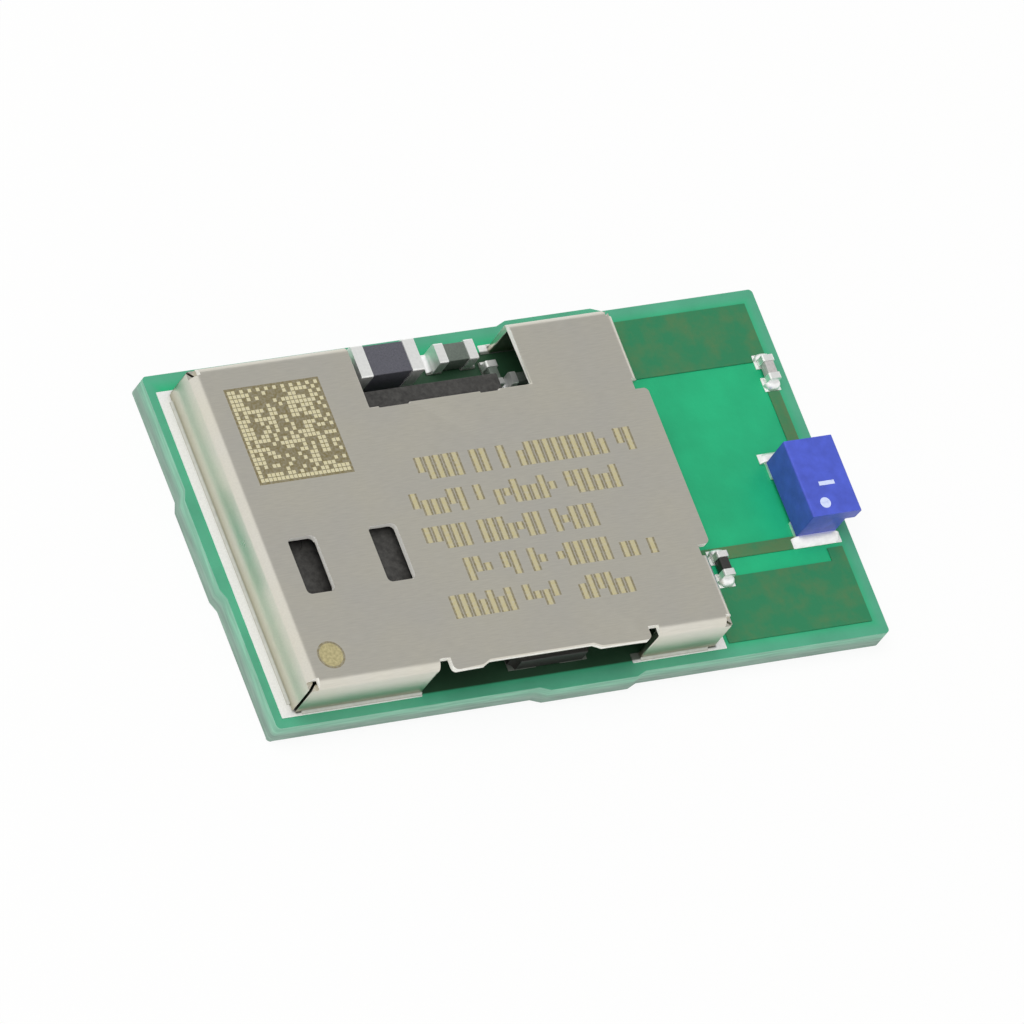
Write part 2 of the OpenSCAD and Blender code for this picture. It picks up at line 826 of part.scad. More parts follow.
module crystal_lid() {
    color([0.75, 0.74, 0.7])
        slab(seat_z + crystal_base_h, crystal_lid_h)
            translate([crystal_x, crystal_y])
                rounded_area(crystal_l - 2 * crystal_rim, crystal_w - 2 * crystal_rim, crystal_notch_r);
}

module bodies(size, places, tint) {
    color(tint)
        for (place = places)
            at_place(place, seat_z)
                chip_body(size);
}

module end_bands(size, places) {
    color([0.84, 0.84, 0.85])
        for (place = places)
            at_place(place, seat_z)
                chip_bands(size);
}

module end_solder(size, places) {
    color([0.86, 0.87, 0.86])
        for (place = places)
            at_place(place, seat_z)
                chip_solder(size);
}

module end_beads(place) {
    color([0.86, 0.87, 0.86])
        at_place(place, seat_z)
            chip_beads(beaded_size);
}

module inductor_body() {
    bodies(inductor_size, [inductor_place], [0.23, 0.22, 0.26]);
}

module inductor_end_bands() {
    end_bands(inductor_size, [inductor_place]);
}

module inductor_solder() {
    end_solder(inductor_size, [inductor_place]);
}

module decoupling_body() {
    bodies(decoupling_size, [decoupling_place], [0.42, 0.4, 0.38]);
}

module decoupling_end_bands() {
    end_bands(decoupling_size, [decoupling_place]);
}

module decoupling_solder() {
    end_solder(decoupling_size, [decoupling_place]);
}

module filter_body() {
    bodies(filter_size, [filter_place], [0.75, 0.76, 0.74]);
}

module filter_end_bands() {
    end_bands(filter_size, [filter_place]);
}

module filter_solder() {
    end_solder(filter_size, [filter_place]);
}

module matching_body() {
    bodies(beaded_size, [matching_place], [0.16, 0.16, 0.17]);
}

module matching_end_bands() {
    end_bands(beaded_size, [matching_place]);
}

module matching_solder() {
    end_beads(matching_place);
}

module tuning_body() {
    bodies(beaded_size, [tuning_place], [0.72, 0.7, 0.7]);
}

module tuning_end_bands() {
    end_bands(beaded_size, [tuning_place]);
}

module tuning_solder() {
    end_beads(tuning_place);
}

module bypass_bodies() {
    bodies(small_size, bypass_places, [0.5, 0.42, 0.34]);
}

module bypass_end_bands() {
    end_bands(small_size, bypass_places);
}

module bypass_solder() {
    end_solder(small_size, bypass_places);
}

module load_bodies() {
    bodies(small_size, load_places, [0.5, 0.42, 0.34]);
}

module load_end_bands() {
    end_bands(small_size, load_places);
}

module load_solder() {
    end_solder(small_size, load_places);
}

// The antenna's section across its width: a foot, and an upper part that overhangs it on the right.
module antenna_section() {
    body_h = antenna_h - terminal_t;
    area(0, 0, antenna_foot_w, body_h - antenna_edge_r);
    area(0, antenna_step_h, antenna_w, body_h - antenna_edge_r);
    area(antenna_edge_r, antenna_step_h, antenna_w - antenna_edge_r, body_h);
    for (x = [antenna_edge_r, antenna_w - antenna_edge_r])
        translate([x, body_h - antenna_edge_r])
            circle(antenna_edge_r);
}

module antenna_body() {
    color([0.29, 0.31, 0.7])
        translate([antenna_x0, antenna_y0, seat_z + terminal_t])
            along_y(antenna_l)
                antenna_section();
}

module antenna_terminals() {
    color([0.88, 0.88, 0.86])
        slab(seat_z, terminal_t)
            for (y0 = [antenna_y0, antenna_y1 - terminal_l])
                area(antenna_x0, y0, antenna_x0 + antenna_foot_w, y0 + terminal_l);
}

// Solder in front of and behind the antenna.
module antenna_solder() {
    middle_x = antenna_x0 + antenna_foot_w / 2;
    color([0.93, 0.93, 0.92])
        for (end = [[middle_x, antenna_y0, -90], [middle_x, antenna_y1, 90]])
            at_place(end, seat_z)
                bead(antenna_foot_w + 2 * antenna_land_side, antenna_toe, antenna_bead_h);
}

circuit_board();
rear_copper();
front_copper();
feed_trace();
tuning_trace();
contact_pads();
shield_lands();
component_lands();
shield_can();
shield_solder();
radio_chip_body();
radio_chip_leads();
memory_chip_body();
memory_chip_leads();
crystal_base();
crystal_lid();
inductor_body();
inductor_end_bands();
inductor_solder();
decoupling_body();
decoupling_end_bands();
decoupling_solder();
filter_body();
filter_end_bands();
filter_solder();
matching_body();
matching_end_bands();
matching_solder();
tuning_body();
tuning_end_bands();
tuning_solder();
bypass_bodies();
bypass_end_bands();
bypass_solder();
load_bodies();
load_end_bands();
load_solder();
antenna_body();
antenna_terminals();
antenna_solder();
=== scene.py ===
"""Looks of a shielded radio module: finishes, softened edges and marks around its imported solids."""

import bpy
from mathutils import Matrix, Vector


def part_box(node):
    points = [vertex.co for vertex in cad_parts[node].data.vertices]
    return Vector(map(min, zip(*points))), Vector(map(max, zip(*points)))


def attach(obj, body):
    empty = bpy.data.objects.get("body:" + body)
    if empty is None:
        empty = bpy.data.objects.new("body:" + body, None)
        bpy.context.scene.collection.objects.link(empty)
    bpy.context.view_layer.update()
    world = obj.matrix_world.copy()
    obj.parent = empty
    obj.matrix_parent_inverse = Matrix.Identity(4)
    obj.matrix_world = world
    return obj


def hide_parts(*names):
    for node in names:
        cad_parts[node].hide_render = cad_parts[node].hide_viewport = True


bl_info = {
    "name": "Shielded Radio Module",
    "version": (1, 0, 0),
    "blender": (4, 5, 0),
    "location": "View3D > Sidebar > Module",
    "description": "Finishes the packed solids of a shielded radio module and sets them on a pale stage",
    "category": "Object",
}

import math

import bmesh
import bpy
from mathutils import Matrix, Vector

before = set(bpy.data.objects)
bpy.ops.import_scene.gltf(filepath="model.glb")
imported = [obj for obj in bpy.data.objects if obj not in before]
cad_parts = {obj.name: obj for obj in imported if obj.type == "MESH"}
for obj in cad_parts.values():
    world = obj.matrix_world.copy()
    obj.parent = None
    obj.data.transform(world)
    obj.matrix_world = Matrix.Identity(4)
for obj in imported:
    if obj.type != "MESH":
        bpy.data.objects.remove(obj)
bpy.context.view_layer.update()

# Pieces are modelled in millimetres and brought down to metres when they are done
MM = 0.001
# Corners closer than this, in millimetres, are one corner of a copied solid
SAME_POINT = 0.0002
# Neighbouring faces that turn less than this are one flat face
SAME_PLANE = math.radians(0.5)
# Edges that turn more than this are true edges and not part of a curve
EDGE_TURN = math.radians(32)
# How far the ground copper, with the painted shade under the can, stays inside the can's outer faces and
# how softly it ends, in millimetres
GROUND_INSET = 0.08
GROUND_BLUR = 0.02
# The slit and its hole at each corner of the can lie this near to the corner, in millimetres
CORNER_ZONE = 0.8
# The can's bends start this far inside its walls, where its relief slots end, in millimetres
BEND_START = 0.21
# An edge that is this near to the start of a bend, in millimetres, lies on it
SLOT_FIT = 0.005
# How thick the can's sheet is, in millimetres
SHEET = 0.15
# How far painted shade reaches up the can's walls from the foot, in millimetres, and its share at the foot
FOOT_SHADE_HEIGHT = 0.45
FOOT_SHADE_SHARE = 0.65
# The refractive index of the solder mask's epoxy, and its shine, where 0.5 is what the index alone gives
MASK_IOR = 1.55
MASK_SHINE = 0.35
# Grain on plated and fired surfaces stands out by this share of its width
GRAIN_DEPTH = 0.1
# The noise values between which a look changes, close together for strong clouds and wide for soft ones
NOISE_SPAN = {"From Min": 0.3, "From Max": 0.7}
WIDE_SPAN = {"From Min": 0.2, "From Max": 0.8}
# What a range gives that falls from 1 to 0
FALLING = {"To Min": 1.0, "To Max": 0.0}


def linear(code):
    """Turns an sRGB hex colour into linear red, green and blue."""
    channels = [int(code[start:start + 2], 16) / 255 for start in (1, 3, 5)]
    return tuple(c / 12.92 if c <= 0.04045 else ((c + 0.055) / 1.055) ** 2.4 for c in channels)


def colour_property(name, description, code):
    """Declares a colour that the user may change."""
    return bpy.props.FloatVectorProperty(
        name=name, description=description, subtype="COLOR", size=3, min=0.0, max=1.0, default=linear(code))


def length_property(name, description, millimetres):
    """Declares a length that the user may change, given in millimetres."""
    return bpy.props.FloatProperty(
        name=name, description=description, unit="LENGTH", precision=6, min=0.0, default=millimetres * MM)


class ModuleColours(bpy.types.PropertyGroup):
    """Colours of the module's finishes."""

    mask: colour_property("Solder mask", "Green of the mask over bare laminate", "#1FAE77")
    mask_margin: colour_property("Mask margin", "Green of the mask along the board's edge", "#50A482")
    routed_edge: colour_property("Routed edge", "Bare resin and glass on the board's sides", "#8FA99C")
    routed_top: colour_property("Routed top", "Routed sides just below the mask", "#8CC2A9")
    copper: colour_property("Masked copper", "Copper areas seen through the mask", "#287C53")
    # Darker than copper: partly the ground copper's own colour, partly painted shade inside the can
    ground: colour_property("Masked ground", "Copper seen through the mask under the can", "#25452F")
    trace: colour_property("Masked trace", "Narrow traces seen through the mask", "#52774C")
    gold: colour_property("Gold flash", "Contact pads on the underside", "#E2BE6A")
    tin: colour_property("Matt tin", "Solder lands, leads, end bands and terminals", "#FAFBF8")
    # Painted shade of the can on the lands and leads under it
    fluxed_tin: colour_property("Fluxed tin", "Solder lands and leads under the can", "#6E746C")
    sheet: colour_property("Nickel silver", "Sheet of the shield can", "#D8D5CC")
    # Partly the torn edge's frost, partly a painted highlight
    sheared: colour_property("Sheared edge", "Cut edges of the can's top", "#FBF9F2")
    # Painted shade along the foot of the can's walls
    flux_stain: colour_property("Flux stain", "Stained foot of the can's walls", "#8A8768")
    etched: colour_property("Etched mark", "Bright cells of the code on the can", "#E6DDB2")
    golden: colour_property("Golden mark", "Strokes of the other marks on the can", "#D3C898")
    annealed: colour_property("Annealed field", "Darkened sheet around the marks", "#93875F")
    solder: colour_property("Solder", "Reflowed solder", "#FBFBFA")
    fluxed_solder: colour_property("Fluxed solder", "Solder along the can's foot", "#C6C7BE")
    moulding: colour_property("Moulding compound", "Black epoxy of the chips", "#3A3937")
    ferrite: colour_property("Ferrite", "Body of the power inductor", "#54545C")
    brown_ceramic: colour_property("Brown ceramic", "Bodies of the capacitors", "#626B63")
    pale_ceramic: colour_property("Pale ceramic", "Bodies of the tuning capacitor and the filter", "#BDB9B7")
    dark_ceramic: colour_property(
        "Dark ceramic", "Base of the crystal, body of the matching capacitor", "#2E2D2B")
    antenna: colour_property("Antenna blue", "Coated ceramic of the antenna", "#4A5BC6")
    print_white: colour_property("Antenna print", "Marks printed on the antenna", "#D3DEFA")


class ModuleSizes(bpy.types.PropertyGroup):
    """Sizes of the details that the finishes add."""

    sheet_edge: length_property("Sheet edge", "Rounding of the can's cut edges and the crystal's lid", 0.04)
    board_edge: length_property("Board edge", "Rounding of the board's edges", 0.02)
    copper_edge: length_property("Copper edge", "Rounding of masked copper, lands and contacts", 0.012)
    body_edge: length_property("Body edge", "Rounding of ceramic bodies and chips", 0.03)
    band_edge: length_property("Band edge", "Rounding of the plated end bands", 0.035)
    antenna_edge: length_property("Antenna edge", "Rounding of the antenna's edges", 0.035)
    tab_stub: length_property("Tab stub", "How far the broken tabs stand out of the board", 0.1)
    mark_depth: length_property("Mark depth", "How far the marks stand on the can and the antenna", 0.004)
    code_side: length_property("Code side", "Side of the square of code cells", 2.27)
    row_height: length_property("Row height", "Height of a row of tick marks", 0.56)
    row_pitch: length_property("Row pitch", "Distance from row to row of tick marks", 0.84)
    tick_width: length_property("Tick width", "Width of one tick mark", 0.11)
    tick_pitch: length_property("Tick pitch", "Distance from tick to tick", 0.23)
    halo: length_property("Halo", "How far the darkened sheet reaches round a mark", 0.05)
    pin_mark: length_property("Pin mark", "Diameter of the disc beside the first contact", 0.56)
    antenna_dot: length_property("Antenna dot", "Diameter of the dot printed on the antenna", 0.26)
    code_cells: bpy.props.IntProperty(
        name="Code cells", description="Cells along one side of the code", min=8, max=40, default=22)


def add(tree, kind, inputs=None, **settings):
    """Adds a node, sets its properties, and fills its inputs with values or other nodes' outputs."""
    node = tree.nodes.new(kind)
    for name, value in settings.items():
        setattr(node, name, value)
    for key, value in (inputs or {}).items():
        if isinstance(value, bpy.types.NodeSocket):
            tree.links.new(value, node.inputs[key])
        elif hasattr(value, "__len__") and len(value) == 3 and len(node.inputs[key].default_value) == 4:
            node.inputs[key].default_value = (*value, 1.0)
        else:
            node.inputs[key].default_value = value
    return node


def shaded(tree, colour, noise, span, darkest, lightest):
    """Gives a colour that a noise makes darker and lighter, between two shares of it."""
    shade = add(tree, "ShaderNodeMapRange",
                {"Value": noise.outputs[0], **span, "To Min": darkest, "To Max": lightest})
    scaled = add(tree, "ShaderNodeVectorMath", {0: colour, "Scale": shade.outputs[0]}, operation="SCALE")
    return scaled.outputs[0]


def levelness(tree):
    """Gives 1 on faces that lie level, whether they face up or down, and 0 on upright ones."""
    facing = add(tree, "ShaderNodeSeparateXYZ", {"Vector": add(tree, "ShaderNodeTexCoord").outputs["Normal"]})
    return add(tree, "ShaderNodeMath", {0: facing.outputs["Z"]}, operation="ABSOLUTE").outputs[0]


def laminate(tree, place, colours):
    """Glass-epoxy laminate under green solder mask, with bare routed sides."""
    # The mask is an even, half-gloss green that pales towards the edge. It is darker over the ground copper,
    # and on the top face under the can darker still, in painted shade of the can. The routed sides are pale
    # and dull, with the layers of glass cloth as faint level lines.
    pale_margin = {"From Min": 0.08, "From Max": 0.48}
    cloud_size = 0.9
    layer_size = (0.9, 0.9, 0.07)
    peel_size = 0.12
    peel_depth = 0.012
    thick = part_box("circuit_board")[1].z / MM
    split = add(tree, "ShaderNodeSeparateXYZ", {"Vector": place})
    margin = add(tree, "ShaderNodeMapRange", {"Value": edge_inset(tree, split), **pale_margin, **FALLING},
                 interpolation_type="SMOOTHSTEP")
    open_mask = add(tree, "ShaderNodeMix",
                    {"Factor": margin.outputs[0], "A": colours.mask, "B": colours.mask_margin},
                    data_type="RGBA")
    # The top face under the can takes the darker ground colour: painted shade of the can over the copper
    upper = add(tree, "ShaderNodeMath", {0: split.outputs["Z"], 1: thick / 2}, operation="GREATER_THAN")
    ground = add(tree, "ShaderNodeMix",
                 {"Factor": upper.outputs[0], "A": colours.copper, "B": colours.ground}, data_type="RGBA")
    mask = add(tree, "ShaderNodeMix",
               {"Factor": under_can(tree, split), "A": open_mask.outputs["Result"],
                "B": ground.outputs["Result"]}, data_type="RGBA")
    cloud = add(tree, "ShaderNodeTexNoise", {"Vector": place, "Scale": 1 / cloud_size, "Detail": 4.0})
    mottled = shaded(tree, mask.outputs["Result"], cloud, NOISE_SPAN, darkest=0.9, lightest=1.08)
    height = add(tree, "ShaderNodeMapRange",
                 {"Value": split.outputs["Z"], "From Min": 0.35 * thick, "From Max": 0.75 * thick})
    bare = add(tree, "ShaderNodeMix",
               {"Factor": height.outputs[0], "A": colours.routed_edge, "B": colours.routed_top},
               data_type="RGBA")
    layers = add(tree, "ShaderNodeMapping", {"Vector": place, "Scale": [1 / size for size in layer_size]})
    fibre = add(tree, "ShaderNodeTexNoise", {"Vector": layers.outputs[0], "Scale": 1.0, "Detail": 5.0})
    resin = shaded(tree, bare.outputs["Result"], fibre, NOISE_SPAN, darkest=0.8, lightest=1.15)
    side = add(tree, "ShaderNodeMapRange",
               {"Value": levelness(tree), "From Min": 0.3, "From Max": 0.75, **FALLING})
    colour = add(tree, "ShaderNodeMix", {"Factor": side.outputs[0], "A": mottled, "B": resin},
                 data_type="RGBA")
    dull = add(tree, "ShaderNodeMapRange", {"Value": side.outputs[0], "To Min": 0.42, "To Max": 0.8})
    peel = add(tree, "ShaderNodeTexNoise", {"Vector": place, "Scale": 1 / peel_size, "Detail": 2.0})
    relief = add(tree, "ShaderNodeMix",
                 {"Factor": side.outputs[0], "A": peel.outputs[0], "B": fibre.outputs[0]})
    bump = add(tree, "ShaderNodeBump",
               {"Height": relief.outputs[0], "Strength": 0.35, "Distance": peel_depth * MM})
    return {"Base Color": colour.outputs["Result"], "Roughness": dull.outputs[0], "IOR": MASK_IOR,
            "Specular IOR Level": MASK_SHINE, "Normal": bump.outputs[0]}


def edge_inset(tree, split):
    """Gives how far inside the board's edge a point lies, in millimetres, as if it had no tab stubs."""
    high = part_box("circuit_board")[1]
    stub = bpy.context.scene.module_sizes.tab_stub
    insets = []
    for axis, reach in enumerate((high.x, high.y - stub)):
        far = add(tree, "ShaderNodeMath", {0: split.outputs[axis]}, operation="ABSOLUTE")
        inset = add(tree, "ShaderNodeMath", {0: reach / MM, 1: far.outputs[0]}, operation="SUBTRACT")
        insets.append(inset.outputs[0])
    return add(tree, "ShaderNodeMath", {0: insets[0], 1: insets[1]}, operation="MINIMUM").outputs[0]


def under_can(tree, split):
    """Gives 1 inside the can's walls, where the board's ground copper lies under the mask, and 0 outside."""
    # Where this gives 1, the board's top and the lands take painted shade of the can
    low, high = (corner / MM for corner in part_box("shield_can"))
    inside = []
    for axis in (0, 1):
        middle = (low[axis] + high[axis]) / 2
        reach = (high[axis] - low[axis]) / 2 - GROUND_INSET
        off = add(tree, "ShaderNodeMath", {0: split.outputs[axis], 1: middle}, operation="SUBTRACT")
        far = add(tree, "ShaderNodeMath", {0: off.outputs[0]}, operation="ABSOLUTE")
        edge = add(tree, "ShaderNodeMapRange",
                   {"Value": far.outputs[0], "From Min": reach - GROUND_BLUR, "From Max": reach + GROUND_BLUR,
                    **FALLING})
        inside.append(edge.outputs[0])
    return add(tree, "ShaderNodeMath", {0: inside[0], 1: inside[1]}, operation="MULTIPLY").outputs[0]


def masked_copper(tree, place, colours):
    """Copper foil under solder mask."""
    # Copper turns the mask a deeper, browner green in uneven clouds.
    return under_mask(tree, place, colours.copper, colours.trace)


def masked_trace(tree, place, colours):
    """Narrow copper under solder mask, where the thin mask over the edges lets more copper through."""
    # A trace looks browner than a wide area of the same foil.
    return under_mask(tree, place, colours.trace, colours.copper)


def under_mask(tree, place, main, other):
    """Mottles one masked copper colour with another and gives it the mask's half gloss."""
    cloud_size = 0.5
    peel_size = 0.1
    peel_depth = 0.01
    cloud = add(tree, "ShaderNodeTexNoise",
                {"Vector": place, "Scale": 1 / cloud_size, "Detail": 5.0, "Roughness": 0.6})
    share = add(tree, "ShaderNodeMapRange",
                {"Value": cloud.outputs[0], "From Min": 0.42, "From Max": 0.72, "To Max": 0.75})
    colour = add(tree, "ShaderNodeMix", {"Factor": share.outputs[0], "A": main, "B": other}, data_type="RGBA")
    peel = add(tree, "ShaderNodeTexNoise", {"Vector": place, "Scale": 1 / peel_size, "Detail": 3.0})
    gloss = add(tree, "ShaderNodeMapRange", {"Value": peel.outputs[0], "To Min": 0.36, "To Max": 0.5})
    bump = add(tree, "ShaderNodeBump",
               {"Height": peel.outputs[0], "Strength": 0.3, "Distance": peel_depth * MM})
    return {"Base Color": colour.outputs["Result"], "Roughness": gloss.outputs[0], "IOR": MASK_IOR,
            "Specular IOR Level": MASK_SHINE, "Normal": bump.outputs[0]}


def gold_flash(tree, place, colours):
    """Thin gold over nickel on the contacts."""
    # Soft yellow metal, a little frosted by the nickel's grain.
    return plated(tree, place, colours.gold, grain=0.05, smooth=0.25, rough=0.4, metal=1.0)


def matt_tin(tree, place, colours):
    """Dull tin on the solder lands and the chips' leads."""
    # Frosted white metal whose grain shows as fine sparkle. Under the can it is drawn grey, in painted shade
    # of the can.
    inside = under_can(tree, add(tree, "ShaderNodeSeparateXYZ", {"Vector": place}))
    main = add(tree, "ShaderNodeMix", {"Factor": inside, "A": colours.tin, "B": colours.fluxed_tin},
               data_type="RGBA")
    return plated(tree, place, main.outputs["Result"], grain=0.04, smooth=0.45, rough=0.62, metal=0.4)


def tin_band(tree, place, colours):
    """Tin plate on the end bands of chip parts and the antenna's terminals."""
    # Shinier than the lands, and clean of flux.
    return plated(tree, place, colours.tin, grain=0.06, smooth=0.32, rough=0.45, metal=0.7)


def reflowed_solder(tree, place, colours):
    """Solder that has melted and set."""
    # White metal with a soft shine, dimpled where it shrank on setting.
    return plated(tree, place, colours.solder, grain=0.09, smooth=0.3, rough=0.45, metal=0.7)


def fluxed_solder(tree, place, colours):
    """Solder along the can's foot, under a skin of flux."""
    # Greyer and duller than bare solder.
    return plated(tree, place, colours.fluxed_solder, grain=0.09, smooth=0.45, rough=0.6, metal=0.5)


def plated(tree, place, main, grain, smooth, rough, metal):
    """Metal with a grain in millimetres, a range of roughness and the share of it that isn't frosted."""
    cloud = add(tree, "ShaderNodeTexNoise", {"Vector": place, "Scale": 1 / grain, "Detail": 3.0})
    colour = shaded(tree, main, cloud, NOISE_SPAN, darkest=0.93, lightest=1.02)
    gloss = add(tree, "ShaderNodeMapRange",
                {"Value": cloud.outputs[0], **NOISE_SPAN, "To Min": rough, "To Max": smooth})
    bump = add(tree, "ShaderNodeBump",
               {"Height": cloud.outputs[0], "Strength": 0.4, "Distance": GRAIN_DEPTH * grain * MM})
    return {"Base Color": colour, "Metallic": metal, "Roughness": gloss.outputs[0], "Normal": bump.outputs[0]}


def nickel_silver(tree, place, colours):
    """Rolled nickel silver sheet of the can and of the crystal's lid."""
    # Satin, faintly warm metal: the rolls leave short fine streaks along the sheet, drawn here a little
    # coarser than real so that they show, handling leaves cloudy patches, and painted shade darkens the foot
    # of the walls. Where the top was punched, the torn edge is frosted and drawn pale: partly its own frost,
    # partly a painted highlight.
    streak_size = (0.3, 0.03, 0.03)
    cloud_size = 1.6
    fine_size = 0.045
    fine_depth = 0.004
    frosted = 0.6
    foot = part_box("shield_can")[0].z / MM
    height = add(tree, "ShaderNodeSeparateXYZ", {"Vector": place}).outputs["Z"]
    # Painted shade, strongest at the foot of the walls
    foot_shade_share = add(tree, "ShaderNodeMapRange",
                {"Value": height, "From Min": foot, "From Max": foot + FOOT_SHADE_HEIGHT, "To Min": FOOT_SHADE_SHARE,
                 "To Max": 0.0}, interpolation_type="SMOOTHSTEP")
    cloud = add(tree, "ShaderNodeTexNoise", {"Vector": place, "Scale": 1 / cloud_size, "Detail": 4.0})
    tint = add(tree, "ShaderNodeMapRange", {"Value": cloud.outputs[0], **WIDE_SPAN, "To Max": 0.2})
    warm = add(tree, "ShaderNodeMix", {"Factor": tint.outputs[0], "A": colours.sheet, "B": colours.etched},
               data_type="RGBA")
    foot_shaded = add(tree, "ShaderNodeMix",
                  {"Factor": foot_shade_share.outputs[0], "A": warm.outputs["Result"], "B": colours.flux_stain},
                  data_type="RGBA")
    # The cut edges turn pale and not metallic: partly frost, partly a painted highlight
    cut = cut_edge(tree, height)
    sheared = add(tree, "ShaderNodeMix",
                  {"Factor": cut, "A": foot_shaded.outputs["Result"], "B": colours.sheared}, data_type="RGBA")
    rolled = add(tree, "ShaderNodeMapping", {"Vector": place, "Scale": [1 / size for size in streak_size]})
    streak = add(tree, "ShaderNodeTexNoise", {"Vector": rolled.outputs[0], "Scale": 1.0, "Detail": 3.0})
    colour = shaded(tree, sheared.outputs["Result"], streak, WIDE_SPAN, darkest=0.93, lightest=1.05)
    satin = add(tree, "ShaderNodeMapRange",
                {"Value": cloud.outputs[0], **WIDE_SPAN, "To Min": 0.26, "To Max": 0.36})
    gloss = add(tree, "ShaderNodeMix", {"Factor": cut, "A": satin.outputs[0], "B": frosted})
    metal = add(tree, "ShaderNodeMath", {0: 1.0, 1: cut}, operation="SUBTRACT")
    fine = add(tree, "ShaderNodeTexNoise", {"Vector": place, "Scale": 1 / fine_size, "Detail": 2.0})
    relief = add(tree, "ShaderNodeMath", {0: streak.outputs[0], 1: fine.outputs[0]}, operation="ADD")
    bump = add(tree, "ShaderNodeBump",
               {"Height": relief.outputs[0], "Strength": 0.25, "Distance": fine_depth * MM})
    return {"Base Color": colour, "Metallic": metal.outputs[0], "Roughness": gloss.outputs[0],
            "Normal": bump.outputs[0]}


def cut_edge(tree, height):
    """Gives 1 on the upright cut edges of the can's top, at its windows and unbent edges, and 0 elsewhere."""
    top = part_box("shield_can")[1].z / MM
    upright = add(tree, "ShaderNodeMapRange",
                  {"Value": levelness(tree), "From Min": 0.1, "From Max": 0.3, **FALLING})
    in_top = add(tree, "ShaderNodeMath", {0: height, 1: top - SHEET}, operation="GREATER_THAN")
    cut = add(tree, "ShaderNodeMath", {0: upright.outputs[0], 1: in_top.outputs[0]}, operation="MULTIPLY")
    return cut.outputs[0]


def etched_sheet(tree, place, colours):
    """Nickel silver that a laser has etched bright."""
    # Golden and matt, grained by the laser's pulses.
    return burnt(tree, place, colours.etched, colours.sheet, metal=0.5, least=0.0, most=0.4)


def golden_sheet(tree, place, colours):
    """Nickel silver that a lighter pass of the laser has coloured."""
    # Dull straw yellow, little brighter than the bare sheet beside it.
    return burnt(tree, place, colours.golden, colours.sheet, metal=0.6, least=0.0, most=0.5)


def tanned_sheet(tree, place, colours):
    """Nickel silver that a wide pass of the laser has coloured unevenly."""
    # Straw yellow with olive clouds where the heat stayed longer.
    return burnt(tree, place, colours.golden, colours.annealed, metal=0.6, least=0.05, most=0.6)


def annealed_sheet(tree, place, colours):
    """Nickel silver that the laser's heat has darkened."""
    # Olive-brown, dark enough to set off the bright cells.
    return burnt(tree, place, colours.annealed, colours.sheet, metal=0.8, least=0.0, most=0.4)


def hazed_sheet(tree, place, colours):
    """Nickel silver that the laser's heat has only just coloured."""
    # A thin olive haze over the satin sheet.
    return burnt(tree, place, colours.annealed, colours.sheet, metal=0.8, least=0.1, most=0.5)


def burnt(tree, place, main, ground, metal, least, most):
    """Sheet marked by a laser: one colour broken by shares of the ground's, in grains of a laser pulse."""
    pulse_size = 0.06
    pulse_depth = 0.006
    pulse = add(tree, "ShaderNodeTexNoise", {"Vector": place, "Scale": 1 / pulse_size, "Detail": 3.0})
    share = add(tree, "ShaderNodeMapRange",
                {"Value": pulse.outputs[0], "From Min": 0.35, "From Max": 0.75, "To Min": least,
                 "To Max": most})
    colour = add(tree, "ShaderNodeMix", {"Factor": share.outputs[0], "A": main, "B": ground},
                 data_type="RGBA")
    bump = add(tree, "ShaderNodeBump",
               {"Height": pulse.outputs[0], "Strength": 0.4, "Distance": pulse_depth * MM})
    return {"Base Color": colour.outputs["Result"], "Metallic": metal, "Roughness": 0.45,
            "Normal": bump.outputs[0]}


def moulding_compound(tree, place, colours):
    """Black epoxy moulding compound of the chips."""
    # Dull charcoal with pale flecks of its glass filler.
    return fired(tree, place, colours.moulding, fleck=0.12, amount=0.45, rough=0.6)


def ferrite(tree, place, colours):
    """Sintered ferrite of the inductor."""
    # Grey-black and dull, with an even pitted grain.
    return fired(tree, place, colours.ferrite, fleck=0.035, amount=0.25, rough=0.5)


def brown_ceramic(tree, place, colours):
    """Fired titanate ceramic of the capacitors."""
    # Smooth brown-grey with a low sheen.
    return fired(tree, place, colours.brown_ceramic, fleck=0.04, amount=0.18, rough=0.4)


def pale_ceramic(tree, place, colours):
    """Fired pale ceramic of the tuning capacitor and the filter."""
    # Smooth off-white with a low sheen.
    return fired(tree, place, colours.pale_ceramic, fleck=0.05, amount=0.12, rough=0.4)


def dark_ceramic(tree, place, colours):
    """Black ceramic of the crystal's base and the matching capacitor."""
    # Near-black with a slight sheen.
    return fired(tree, place, colours.dark_ceramic, fleck=0.04, amount=0.2, rough=0.45)


def fired(tree, place, main, fleck, amount, rough):
    """Dull body with flecks of the given size in millimetres, lighter and darker by the given share."""
    grain = add(tree, "ShaderNodeTexNoise",
                {"Vector": place, "Scale": 1 / fleck, "Detail": 3.0, "Roughness": 0.65})
    colour = shaded(tree, main, grain, NOISE_SPAN, darkest=1.0 - amount, lightest=1.0 + amount)
    bump = add(tree, "ShaderNodeBump",
               {"Height": grain.outputs[0], "Strength": 0.5, "Distance": GRAIN_DEPTH * fleck * MM})
    return {"Base Color": colour, "Roughness": rough, "Normal": bump.outputs[0]}


